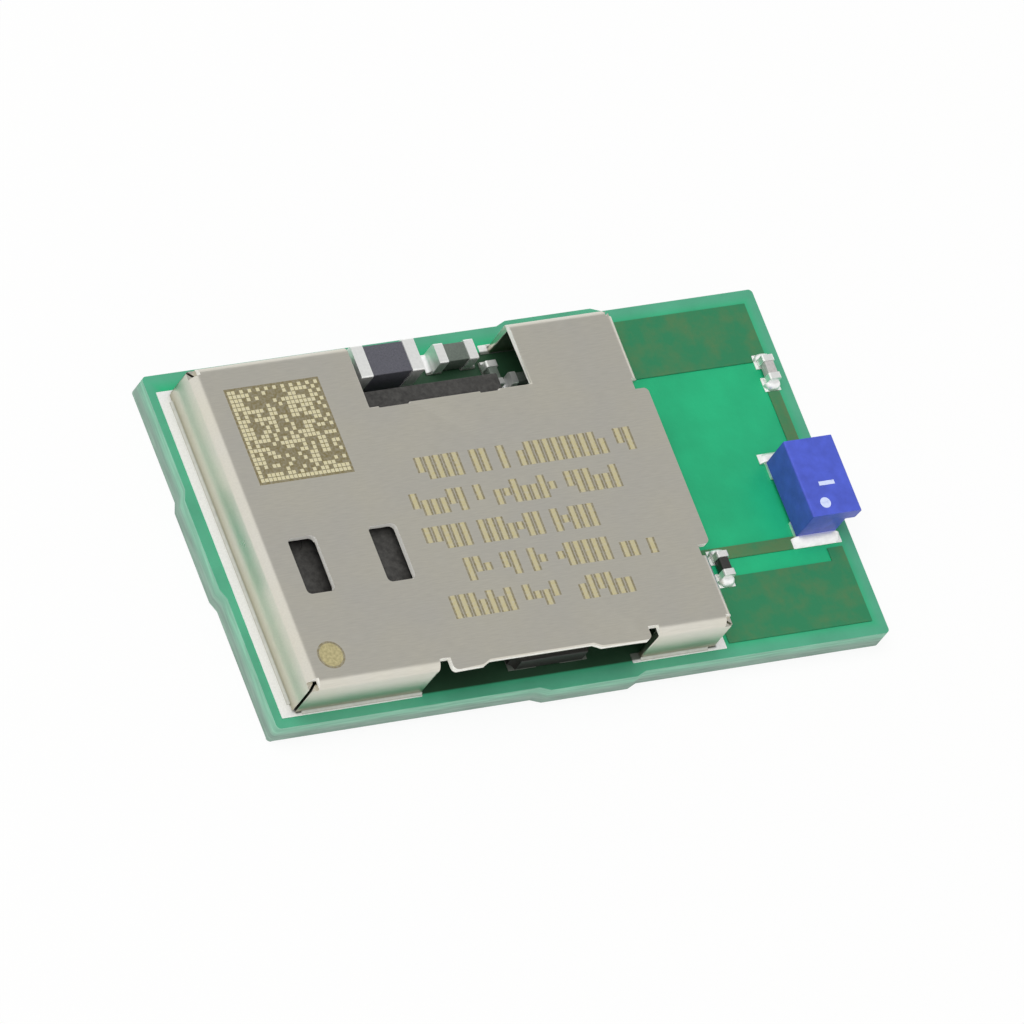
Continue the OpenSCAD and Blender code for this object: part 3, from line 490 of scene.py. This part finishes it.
def coated_ceramic(tree, place, colours):
    """Dielectric ceramic under a blue epoxy coat."""
    # Satin blue with soft clouds where the coat is thicker and a fine orange peel.
    cloud_size = 0.3
    peel_size = 0.08
    peel_depth = 0.008
    cloud = add(tree, "ShaderNodeTexNoise", {"Vector": place, "Scale": 1 / cloud_size, "Detail": 4.0})
    colour = shaded(tree, colours.antenna, cloud, NOISE_SPAN, darkest=0.86, lightest=1.14)
    peel = add(tree, "ShaderNodeTexNoise", {"Vector": place, "Scale": 1 / peel_size, "Detail": 2.0})
    gloss = add(tree, "ShaderNodeMapRange", {"Value": peel.outputs[0], "To Min": 0.38, "To Max": 0.55})
    bump = add(tree, "ShaderNodeBump",
               {"Height": peel.outputs[0], "Strength": 0.4, "Distance": peel_depth * MM})
    return {"Base Color": colour, "Roughness": gloss.outputs[0], "Normal": bump.outputs[0]}


def printed_ink(tree, place, colours):
    """Pale ink printed on the antenna."""
    # Flat bluish white, thin enough for the coat to show through in places.
    wear_size = 0.09
    wear = add(tree, "ShaderNodeTexNoise", {"Vector": place, "Scale": 1 / wear_size, "Detail": 3.0})
    share = add(tree, "ShaderNodeMapRange",
                {"Value": wear.outputs[0], "From Min": 0.5, "From Max": 0.85, "To Max": 0.35})
    colour = add(tree, "ShaderNodeMix",
                 {"Factor": share.outputs[0], "A": colours.print_white, "B": colours.antenna},
                 data_type="RGBA")
    return {"Base Color": colour.outputs["Result"], "Roughness": 0.55}


def finish(build):
    """Gives the material that one of the functions above describes, made once."""
    name = build.__name__ + "_finish"
    made = bpy.data.materials.get(name)
    if made:
        return made
    made = bpy.data.materials.new(name)
    made.use_nodes = True
    tree = made.node_tree
    tree.nodes.clear()
    coords = add(tree, "ShaderNodeTexCoord")
    place = add(tree, "ShaderNodeMapping", {"Vector": coords.outputs["Object"], "Scale": [1 / MM] * 3})
    inputs = build(tree, place.outputs[0], bpy.context.scene.module_colours)
    shader = add(tree, "ShaderNodeBsdfPrincipled", inputs)
    add(tree, "ShaderNodeOutputMaterial", {"Surface": shader.outputs[0]})
    return made


def activate(piece):
    """Makes a piece the only one selected."""
    bpy.ops.object.select_all(action="DESELECT")
    piece.select_set(True)
    bpy.context.view_layer.objects.active = piece


def modify(piece, kind, **settings):
    """Adds a modifier with its settings and applies it."""
    activate(piece)
    modifier = piece.modifiers.new(kind.title(), kind)
    for name, value in settings.items():
        setattr(modifier, name, value)
    bpy.ops.object.modifier_apply(modifier=modifier.name)


def pick(piece, kind, test):
    """Selects only the faces or edges of a piece in edit mode that pass the test."""
    mesh = bmesh.from_edit_mesh(piece.data)
    bpy.ops.mesh.select_mode(type={"faces": "FACE", "edges": "EDGE"}[kind])
    bpy.ops.mesh.select_all(action="DESELECT")
    for part in getattr(mesh, kind):
        part.select_set(bool(test(part)))
    mesh.select_flush_mode()
    bmesh.update_edit_mesh(piece.data)


def settle(piece, build, node=None):
    """Brings a finished piece from millimetres to metres, gives it its material and sets it on the part."""
    activate(piece)
    piece.scale = (MM, MM, MM)
    bpy.ops.object.transform_apply(location=True, rotation=True, scale=True)
    bpy.ops.object.shade_smooth_by_angle(angle=EDGE_TURN)
    modify(piece, "WEIGHTED_NORMAL", mode="FACE_AREA", keep_sharp=True)
    piece.data.materials.clear()
    piece.data.materials.append(finish(build))
    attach(piece, "root")
    if node:
        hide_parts(node)


def dress(node, build):
    """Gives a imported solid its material."""
    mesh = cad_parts[node].data
    mesh.materials.clear()
    mesh.materials.append(finish(build))


def soften(node, build, edge, segments=2, left_sharp=None):
    """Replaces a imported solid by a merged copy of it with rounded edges.

    The edges of a face that is too narrow to round on both sides stay sharp, and so do those that left_sharp
    names.
    """
    piece = bpy.data.objects.new(node + "_piece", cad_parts[node].data.copy())
    bpy.context.scene.collection.objects.link(piece)
    activate(piece)
    piece.scale = (1 / MM, 1 / MM, 1 / MM)
    bpy.ops.object.transform_apply(location=True, rotation=True, scale=True)
    bpy.ops.object.mode_set(mode="EDIT")
    bpy.ops.mesh.select_all(action="SELECT")
    bpy.ops.mesh.customdata_custom_splitnormals_clear()
    bpy.ops.mesh.remove_doubles(threshold=SAME_POINT)
    bpy.ops.mesh.dissolve_limited(angle_limit=SAME_PLANE)

    def rounded(line):
        if not line.is_manifold or line.calc_face_angle() < EDGE_TURN:
            return False
        if any(face.calc_area() < edge / MM * face.calc_perimeter() for face in line.link_faces):
            return False
        return left_sharp is None or not left_sharp(line)

    pick(piece, "edges", rounded)
    bpy.ops.mesh.bevel(offset=edge / MM, segments=segments, affect="EDGES", clamp_overlap=False)
    bpy.ops.object.mode_set(mode="OBJECT")
    settle(piece, build, node)


class MODULE_OT_board(bpy.types.Operator):
    """Finish the board, its masked copper, its lands and its contacts"""

    bl_idname = "module.board"
    bl_label = "Board"

    def execute(self, context):
        sizes = context.scene.module_sizes
        soften("circuit_board", laminate, sizes.board_edge)
        for node in ("rear_copper", "front_copper"):
            soften(node, masked_copper, sizes.copper_edge)
        for node in ("feed_trace", "tuning_trace"):
            soften(node, masked_trace, sizes.copper_edge)
        for node in ("shield_lands", "component_lands"):
            soften(node, matt_tin, sizes.copper_edge)
        soften("contact_pads", gold_flash, sizes.copper_edge)
        return {"FINISHED"}


class MODULE_OT_shield(bpy.types.Operator):
    """Finish the folded can and the solder along its foot"""

    bl_idname = "module.shield"
    bl_label = "Shield Can"

    def execute(self, context):
        low, high = (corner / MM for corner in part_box("shield_can"))
        corners = [Vector((x, y)) for x in (low.x, high.x) for y in (low.y, high.y)]
        points = [point.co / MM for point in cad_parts["shield_can"].data.vertices]
        feet = [point for point in points if point.z < low.z + SAME_POINT]
        starts = [(axis, min(foot[axis] for foot in feet) + BEND_START) for axis in (0, 1)]
        starts += [(axis, max(foot[axis] for foot in feet) - BEND_START) for axis in (0, 1)]

        def at_corner(line):
            ends = [end.co.xy for end in line.verts]
            return any(all((end - corner).length < CORNER_ZONE for end in ends) for corner in corners)

        def at_slot_end(line):
            ends = [end.co for end in line.verts]
            return any(all(abs(end[axis] - start) < SLOT_FIT for end in ends) for axis, start in starts)

        soften("shield_can", nickel_silver, context.scene.module_sizes.sheet_edge, segments=3,
               left_sharp=lambda line: at_corner(line) or at_slot_end(line))
        dress("shield_solder", fluxed_solder)
        return {"FINISHED"}


# A sine of uneven steps, stretched far past 1, gives numbers in no order
COIN_STEPS = (12.9898, 78.233, 37.719)
COIN_STRETCH = 43758.5453
# How many sides stand for a round mark's rim
DISC_SIDES = 48


def coin(column, row, seed):
    """Gives a fixed number from 0 to 1 for a cell, so that a pattern is mixed but the same each time."""
    angle = COIN_STEPS[0] * column + COIN_STEPS[1] * row + COIN_STEPS[2] * seed
    return math.sin(angle) * COIN_STRETCH % 1.0


def break_rim(piece, level):
    """Breaks the sharp rim round the top of a mark, which lies at the given level."""

    def on_rim(line):
        at_top = all(end.co.z > level - SAME_POINT for end in line.verts)
        return at_top and line.is_manifold and line.calc_face_angle() > EDGE_TURN

    activate(piece)
    bpy.ops.object.mode_set(mode="EDIT")
    pick(piece, "edges", on_rim)
    depth = bpy.context.scene.module_sizes.mark_depth / MM
    bpy.ops.mesh.bevel(offset=depth / 2, segments=1, affect="EDGES", clamp_overlap=False)
    bpy.ops.object.mode_set(mode="OBJECT")


def slab(name, top, low, high, lift):
    """Lays a thin slab between two corners on a level top, in millimetres, and sinks all but its lift."""
    depth = bpy.context.scene.module_sizes.mark_depth / MM
    bpy.ops.object.select_all(action="DESELECT")
    middle = ((low[0] + high[0]) / 2, (low[1] + high[1]) / 2, top + lift - depth)
    bpy.ops.mesh.primitive_cube_add(size=1.0, location=middle)
    piece = bpy.context.object
    piece.name = name
    piece.scale = (high[0] - low[0], high[1] - low[1], 2 * depth)
    bpy.ops.object.transform_apply(location=True, rotation=True, scale=True)
    return piece


def plate(name, top, low, high, lift):
    """Lays a thin plate with a broken rim between two corners on a level top."""
    piece = slab(name, top, low, high, lift)
    break_rim(piece, top + lift)
    return piece


def disc(name, top, middle, diameter, lift):
    """Lays a thin disc with a broken rim on a level top, in millimetres, and sinks all but its lift."""
    depth = bpy.context.scene.module_sizes.mark_depth / MM
    bpy.ops.object.select_all(action="DESELECT")
    bpy.ops.mesh.primitive_cylinder_add(
        vertices=DISC_SIDES, radius=diameter / 2, depth=2 * depth, location=(*middle, top + lift - depth))
    piece = bpy.context.object
    piece.name = name
    bpy.ops.object.transform_apply(location=True, rotation=True, scale=True)
    break_rim(piece, top + lift)
    return piece


def stroke_grid(name, top, corner, cell, pitch, counts, lift, keep):
    """Lays a grid of thin strokes on a level top, in millimetres, without those that keep turns down."""
    first = [corner[axis] + (pitch[axis] - cell[axis]) / 2 for axis in (0, 1)]
    piece = slab(name, top, first, [first[axis] + cell[axis] for axis in (0, 1)], lift)
    for axis in (0, 1):
        step = [0.0, 0.0, 0.0]
        step[axis] = pitch[axis]
        modify(piece, "ARRAY", count=counts[axis], use_relative_offset=False, use_constant_offset=True,
               constant_offset_displace=step)
    bpy.ops.object.mode_set(mode="EDIT")

    def left_out(face):
        # A point behind the face, inside its stroke, tells which cell the face belongs to
        inside = face.calc_center_median() - face.normal * min(cell) / 4
        column = int((inside.x - corner[0]) / pitch[0])
        row = int((inside.y - corner[1]) / pitch[1])
        return not keep(column, row)

    pick(piece, "faces", left_out)
    bpy.ops.mesh.delete(type="FACE")
    bpy.ops.mesh.select_all(action="SELECT")
    bpy.ops.mesh.remove_doubles(threshold=SAME_POINT)
    # Where strokes meet, the walls between them are taken out
    pick(piece, "faces", lambda face: all(len(line.link_faces) > 2 for line in face.edges))
    bpy.ops.mesh.delete(type="ONLY_FACE")
    bpy.ops.mesh.select_all(action="SELECT")
    bpy.ops.mesh.dissolve_limited(angle_limit=SAME_PLANE)
    bpy.ops.object.mode_set(mode="OBJECT")
    break_rim(piece, top + lift)
    return piece


# The code's left front corner, in millimetres from the can's left edge and from its rear edge
CODE_PLACE = (0.65, 2.97)
# How much of its pitch a cell of the code fills, the share of cells left out, and the seed of their order
CELL_SHARE = 0.82
CODE_GAPS = 0.47
CODE_SEED = 1
# The first row's start, in millimetres from the can's left front corner, and each row's length in ticks
ROWS_START = (4.0, 4.53)
ROW_TICKS = (26, 23, 19, 24, 20)
# A tick is up to this many pieces high, always with its middle one
TICK_PIECES = 3
# The shares of ticks and of their outer pieces left out, and the draw that decides on a whole tick
TICK_GAPS = 0.16
PIECE_GAPS = 0.3
TICK_DRAW = 7
# The middle of the disc by the first contact, in millimetres from the can's left front corner
PIN_MARK_PLACE = (0.715, 0.795)


class MODULE_OT_etching(bpy.types.Operator):
    """Mark the can's top with a code of no meaning, rows of plain ticks and a disc by the first contact"""

    bl_idname = "module.etching"
    bl_label = "Etched Marks"

    def code(self, sizes, top, corner):
        """A square of cells in no order, with two full and two broken sides."""
        cells = sizes.code_cells
        side = sizes.code_side / MM
        depth = sizes.mark_depth / MM
        last = cells - 1

        def coded(column, row):
            if column == 0 or row == 0:
                return True
            if column == last or row == last:
                return (column + row) % 2 == 0
            return coin(column, row, CODE_SEED) > CODE_GAPS

        halo = sizes.halo / MM
        field = plate("code_field", top, [c - halo for c in corner], [c + side + halo for c in corner],
                      depth / 2)
        settle(field, annealed_sheet)
        pitch = side / cells
        cell = CELL_SHARE * pitch
        strokes = stroke_grid("code_cells", top, corner, (cell, cell), (pitch, pitch), (cells, cells), depth,
                              coded)
        settle(strokes, etched_sheet)

    def ticks(self, sizes, top, corner, row, count):
        """A row of plain ticks of a few heights, in groups, each tick in a darkened patch."""
        pitch = (sizes.tick_pitch / MM, sizes.row_height / MM / TICK_PIECES)
        wide = sizes.tick_width / MM
        halo = sizes.halo / MM
        depth = sizes.mark_depth / MM

        def kept(column, piece):
            if coin(column, TICK_DRAW, row) < TICK_GAPS:
                return False
            return piece == TICK_PIECES // 2 or coin(column, piece, row) > PIECE_GAPS

        patches = stroke_grid(f"tick_patches_{row}", top, corner, (wide + 2 * halo, pitch[1]), pitch,
                              (count, TICK_PIECES), depth / 2, kept)
        settle(patches, hazed_sheet)
        strokes = stroke_grid(f"tick_strokes_{row}", top, corner, (wide, pitch[1]), pitch,
                              (count, TICK_PIECES), depth, kept)
        settle(strokes, golden_sheet)

    def execute(self, context):
        sizes = context.scene.module_sizes
        depth = sizes.mark_depth / MM
        low, high = (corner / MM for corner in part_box("shield_can"))
        self.code(sizes, high.z, (low.x + CODE_PLACE[0], high.y - CODE_PLACE[1]))
        for row, count in enumerate(ROW_TICKS):
            corner = (low.x + ROWS_START[0], low.y + ROWS_START[1] - row * sizes.row_pitch / MM)
            self.ticks(sizes, high.z, corner, row, count)
        middle = (low.x + PIN_MARK_PLACE[0], low.y + PIN_MARK_PLACE[1])
        ring = disc("pin_mark_ring", high.z, middle, (sizes.pin_mark + 2 * sizes.halo) / MM, depth / 2)
        settle(ring, hazed_sheet)
        mark = disc("pin_mark", high.z, middle, sizes.pin_mark / MM, depth)
        settle(mark, tanned_sheet)
        return {"FINISHED"}


class MODULE_OT_chips(bpy.types.Operator):
    """Finish the chips and the crystal under the can"""

    bl_idname = "module.chips"
    bl_label = "Chips and Crystal"

    def execute(self, context):
        sizes = context.scene.module_sizes
        for node in ("radio_chip_body", "memory_chip_body"):
            soften(node, moulding_compound, sizes.body_edge)
        for node in ("radio_chip_leads", "memory_chip_leads"):
            dress(node, matt_tin)
        soften("crystal_base", dark_ceramic, sizes.body_edge)
        soften("crystal_lid", nickel_silver, sizes.sheet_edge)
        return {"FINISHED"}


class MODULE_OT_chip_parts(bpy.types.Operator):
    """Finish the inductor, the filter and the capacitors: bodies, end bands and solder"""

    bl_idname = "module.chip_parts"
    bl_label = "Inductor and Capacitors"

    def execute(self, context):
        sizes = context.scene.module_sizes
        bodies = {
            "inductor_body": (ferrite, "ferrite"),
            "decoupling_body": (brown_ceramic, "brown_ceramic"),
            "filter_body": (pale_ceramic, "pale_ceramic"),
            "matching_body": (dark_ceramic, "dark_ceramic"),
            "tuning_body": (pale_ceramic, "pale_ceramic"),
            "bypass_bodies": (brown_ceramic, "brown_ceramic"),
            "load_bodies": (brown_ceramic, "brown_ceramic"),
        }
        for node, (build, slot) in bodies.items():
            soften(node, build, sizes.body_edge)
            stem = node.rsplit("_", 1)[0]
            soften(stem + "_end_bands", tin_band, sizes.band_edge)
            dress(stem + "_solder", reflowed_solder)
        return {"FINISHED"}


# Where the dot's middle and the bar's corners lie, in millimetres from the antenna's left front corner
DOT_PLACE = (0.43, 0.3)
BAR_LOW = (0.45, 0.72)
BAR_HIGH = (0.85, 0.82)


class MODULE_OT_antenna(bpy.types.Operator):
    """Finish the antenna, its print, its terminals and its solder"""

    bl_idname = "module.antenna"
    bl_label = "Antenna"

    def execute(self, context):
        sizes = context.scene.module_sizes
        soften("antenna_body", coated_ceramic, sizes.antenna_edge)
        dress("antenna_terminals", tin_band)
        dress("antenna_solder", reflowed_solder)
        low, high = (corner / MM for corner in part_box("antenna_body"))
        lift = sizes.mark_depth / MM
        places = [(low.x + x, low.y + y) for x, y in (DOT_PLACE, BAR_LOW, BAR_HIGH)]
        dot = disc("antenna_dot", high.z, places[0], sizes.antenna_dot / MM, lift)
        settle(dot, printed_ink)
        bar = plate("antenna_bar", high.z, places[1], places[2], lift)
        settle(bar, printed_ink)
        return {"FINISHED"}


# The photograph's camera: where it looks from, its roll, its distance, the point that it looks at, its lens
# and sensor in millimetres, and where its view starts
CAMERA_AZIMUTH = math.radians(-54.93)
CAMERA_ELEVATION = math.radians(51.65)
CAMERA_ROLL = math.radians(39.55)
CAMERA_DISTANCE = 342.13 * MM
CAMERA_AIM = Vector((0.104, 0.094, 0.110)) * MM
CAMERA_LENS = 552.46
CAMERA_SENSOR = 36.0
CAMERA_CLIP = 10 * MM
# The floor's side in metres, and the share of its white that no shadow dims
FLOOR_SIDE = 4.0
FLOOR_GLOW = 0.88
# The lamp, in metres and watts, hangs nearly overhead, a little to the module's left and rear
LAMP_WAY = Vector((-0.3, 0.12, 0.94)).normalized()
LAMP_DISTANCE = 0.4
LAMP_SIZE = 0.4
LAMP_POWER = 1.2
# The surround's light at the horizon and from SKY_HEIGHT up, and how much more of it the front gives
SKY_LEVELS = {"To Min": 0.8, "To Max": 0.34}
SKY_HEIGHT = 0.6
FRONT_SPAN = {"From Min": -1.0, "From Max": 0.2}
FRONT_GAIN = 1.6
# Metal mirrors a white room, apart from a dimmer stretch of it high up beyond the module's right rear corner
DIM_WAY = Vector((0.508, 0.357, 0.784)).normalized()
DIM_CORE = math.radians(24)
DIM_REACH = math.radians(43)
DIM_LEVEL = 0.55


def studio_floor():
    """White floor that stays white to the eye and in reflections, and keeps part of the shadow."""
    made = bpy.data.materials.new("white_paper_floor")
    made.use_nodes = True
    tree = made.node_tree
    tree.nodes.clear()
    light = add(tree, "ShaderNodeLightPath")
    seen = add(tree, "ShaderNodeMath", {0: light.outputs["Is Camera Ray"], 1: light.outputs["Is Glossy Ray"]},
               operation="MAXIMUM")
    shown = add(tree, "ShaderNodeMath", {0: seen.outputs[0], 1: light.outputs["Is Transmission Ray"]},
                operation="MAXIMUM")
    share = add(tree, "ShaderNodeMath", {0: shown.outputs[0], 1: FLOOR_GLOW}, operation="MULTIPLY")
    paper = add(tree, "ShaderNodeBsdfDiffuse", {"Color": linear("#F4F4F2")})
    glow = add(tree, "ShaderNodeEmission", {"Color": (1.0, 1.0, 1.0), "Strength": 1.0})
    mixed = add(tree, "ShaderNodeMixShader", {0: share.outputs[0], 1: paper.outputs[0], 2: glow.outputs[0]})
    add(tree, "ShaderNodeOutputMaterial", {"Surface": mixed.outputs[0]})
    return made


def studio_sky(scene):
    """Dim surround, white to the eye, that metal mirrors as a white room with a dimmer stretch."""
    world = bpy.data.worlds.new("studio_surround")
    world.use_nodes = True
    tree = world.node_tree
    tree.nodes.clear()
    sight = add(tree, "ShaderNodeTexCoord").outputs["Generated"]
    way = add(tree, "ShaderNodeSeparateXYZ", {"Vector": sight})
    dome = add(tree, "ShaderNodeMapRange",
               {"Value": way.outputs["Z"], "From Max": SKY_HEIGHT, **SKY_LEVELS})
    front = add(tree, "ShaderNodeMapRange",
                {"Value": way.outputs["Y"], **FRONT_SPAN, "To Min": FRONT_GAIN, "To Max": 1.0})
    lit = add(tree, "ShaderNodeMath", {0: dome.outputs[0], 1: front.outputs[0]}, operation="MULTIPLY")
    toward = add(tree, "ShaderNodeVectorMath", {0: sight, 1: DIM_WAY}, operation="DOT_PRODUCT")
    mirrored = add(tree, "ShaderNodeMapRange",
                   {"Value": toward.outputs["Value"], "From Min": math.cos(DIM_REACH),
                    "From Max": math.cos(DIM_CORE), "To Min": 1.0, "To Max": DIM_LEVEL},
                   interpolation_type="SMOOTHSTEP")
    light = add(tree, "ShaderNodeLightPath")
    level = add(tree, "ShaderNodeMix",
                {"Factor": light.outputs["Is Glossy Ray"], "A": lit.outputs[0], "B": mirrored.outputs[0]})
    shown = add(tree, "ShaderNodeMix",
                {"Factor": light.outputs["Is Camera Ray"], "A": level.outputs[0], "B": 1.0})
    sky = add(tree, "ShaderNodeBackground", {"Color": (1.0, 1.0, 1.0), "Strength": shown.outputs[0]})
    add(tree, "ShaderNodeOutputWorld", {"Surface": sky.outputs[0]})
    scene.world = world


class MODULE_OT_stage(bpy.types.Operator):
    """Set up the floor, the lamp, the surround and the camera"""

    bl_idname = "module.stage"
    bl_label = "Stage"

    def execute(self, context):
        scene = context.scene
        bpy.ops.object.select_all(action="DESELECT")
        bpy.ops.mesh.primitive_plane_add(size=FLOOR_SIDE, location=(0.0, 0.0, 0.0))
        floor = context.object
        floor.name = "studio_floor"
        floor.data.materials.append(studio_floor())
        studio_sky(scene)
        bpy.ops.object.light_add(type="AREA", location=LAMP_WAY * LAMP_DISTANCE)
        lamp = context.object
        lamp.name = "overhead_softbox"
        lamp.data.shape = "DISK"
        lamp.data.size = LAMP_SIZE
        lamp.data.energy = LAMP_POWER
        lamp.visible_glossy = False
        lamp.rotation_euler = LAMP_WAY.to_track_quat("Z", "Y").to_euler()
        level = math.cos(CAMERA_ELEVATION)
        back = Vector((level * math.sin(CAMERA_AZIMUTH), -level * math.cos(CAMERA_AZIMUTH),
                       math.sin(CAMERA_ELEVATION)))
        bpy.ops.object.camera_add()
        camera = context.object
        camera.data.sensor_width = CAMERA_SENSOR
        camera.data.lens = CAMERA_LENS
        camera.data.clip_start = CAMERA_CLIP
        turn = back.to_track_quat("Z", "Y").to_matrix().to_4x4() @ Matrix.Rotation(CAMERA_ROLL, 4, "Z")
        camera.matrix_world = Matrix.Translation(CAMERA_AIM + back * CAMERA_DISTANCE) @ turn
        scene.camera = camera
        scene.view_settings.view_transform = "Standard"
        return {"FINISHED"}


OPERATORS = (
    MODULE_OT_board,
    MODULE_OT_shield,
    MODULE_OT_etching,
    MODULE_OT_chips,
    MODULE_OT_chip_parts,
    MODULE_OT_antenna,
    MODULE_OT_stage,
)


class MODULE_PT_panel(bpy.types.Panel):
    """Lists the module's pieces in the sidebar"""

    bl_idname = "MODULE_PT_panel"
    bl_label = "Shielded Radio Module"
    bl_space_type = "VIEW_3D"
    bl_region_type = "UI"
    bl_category = "Module"

    def draw(self, context):
        for operator in OPERATORS:
            self.layout.operator(operator.bl_idname)
        for group in (context.scene.module_sizes, context.scene.module_colours):
            box = self.layout.box()
            for name in group.__annotations__:
                box.prop(group, name)


CLASSES = (ModuleColours, ModuleSizes, *OPERATORS, MODULE_PT_panel)


def register():
    """Registers the classes and hangs the settings on the scene."""
    for cls in CLASSES:
        bpy.utils.register_class(cls)
    bpy.types.Scene.module_colours = bpy.props.PointerProperty(type=ModuleColours)
    bpy.types.Scene.module_sizes = bpy.props.PointerProperty(type=ModuleSizes)


def unregister():
    """Takes the settings and the classes away again."""
    del bpy.types.Scene.module_sizes
    del bpy.types.Scene.module_colours
    for cls in reversed(CLASSES):
        bpy.utils.unregister_class(cls)


def main():
    """Builds every piece and the stage."""
    register()
    bpy.ops.module.board()
    bpy.ops.module.shield()
    bpy.ops.module.etching()
    bpy.ops.module.chips()
    bpy.ops.module.chip_parts()
    bpy.ops.module.antenna()
    bpy.ops.module.stage()
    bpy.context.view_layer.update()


if __name__ == "__main__":
    main()
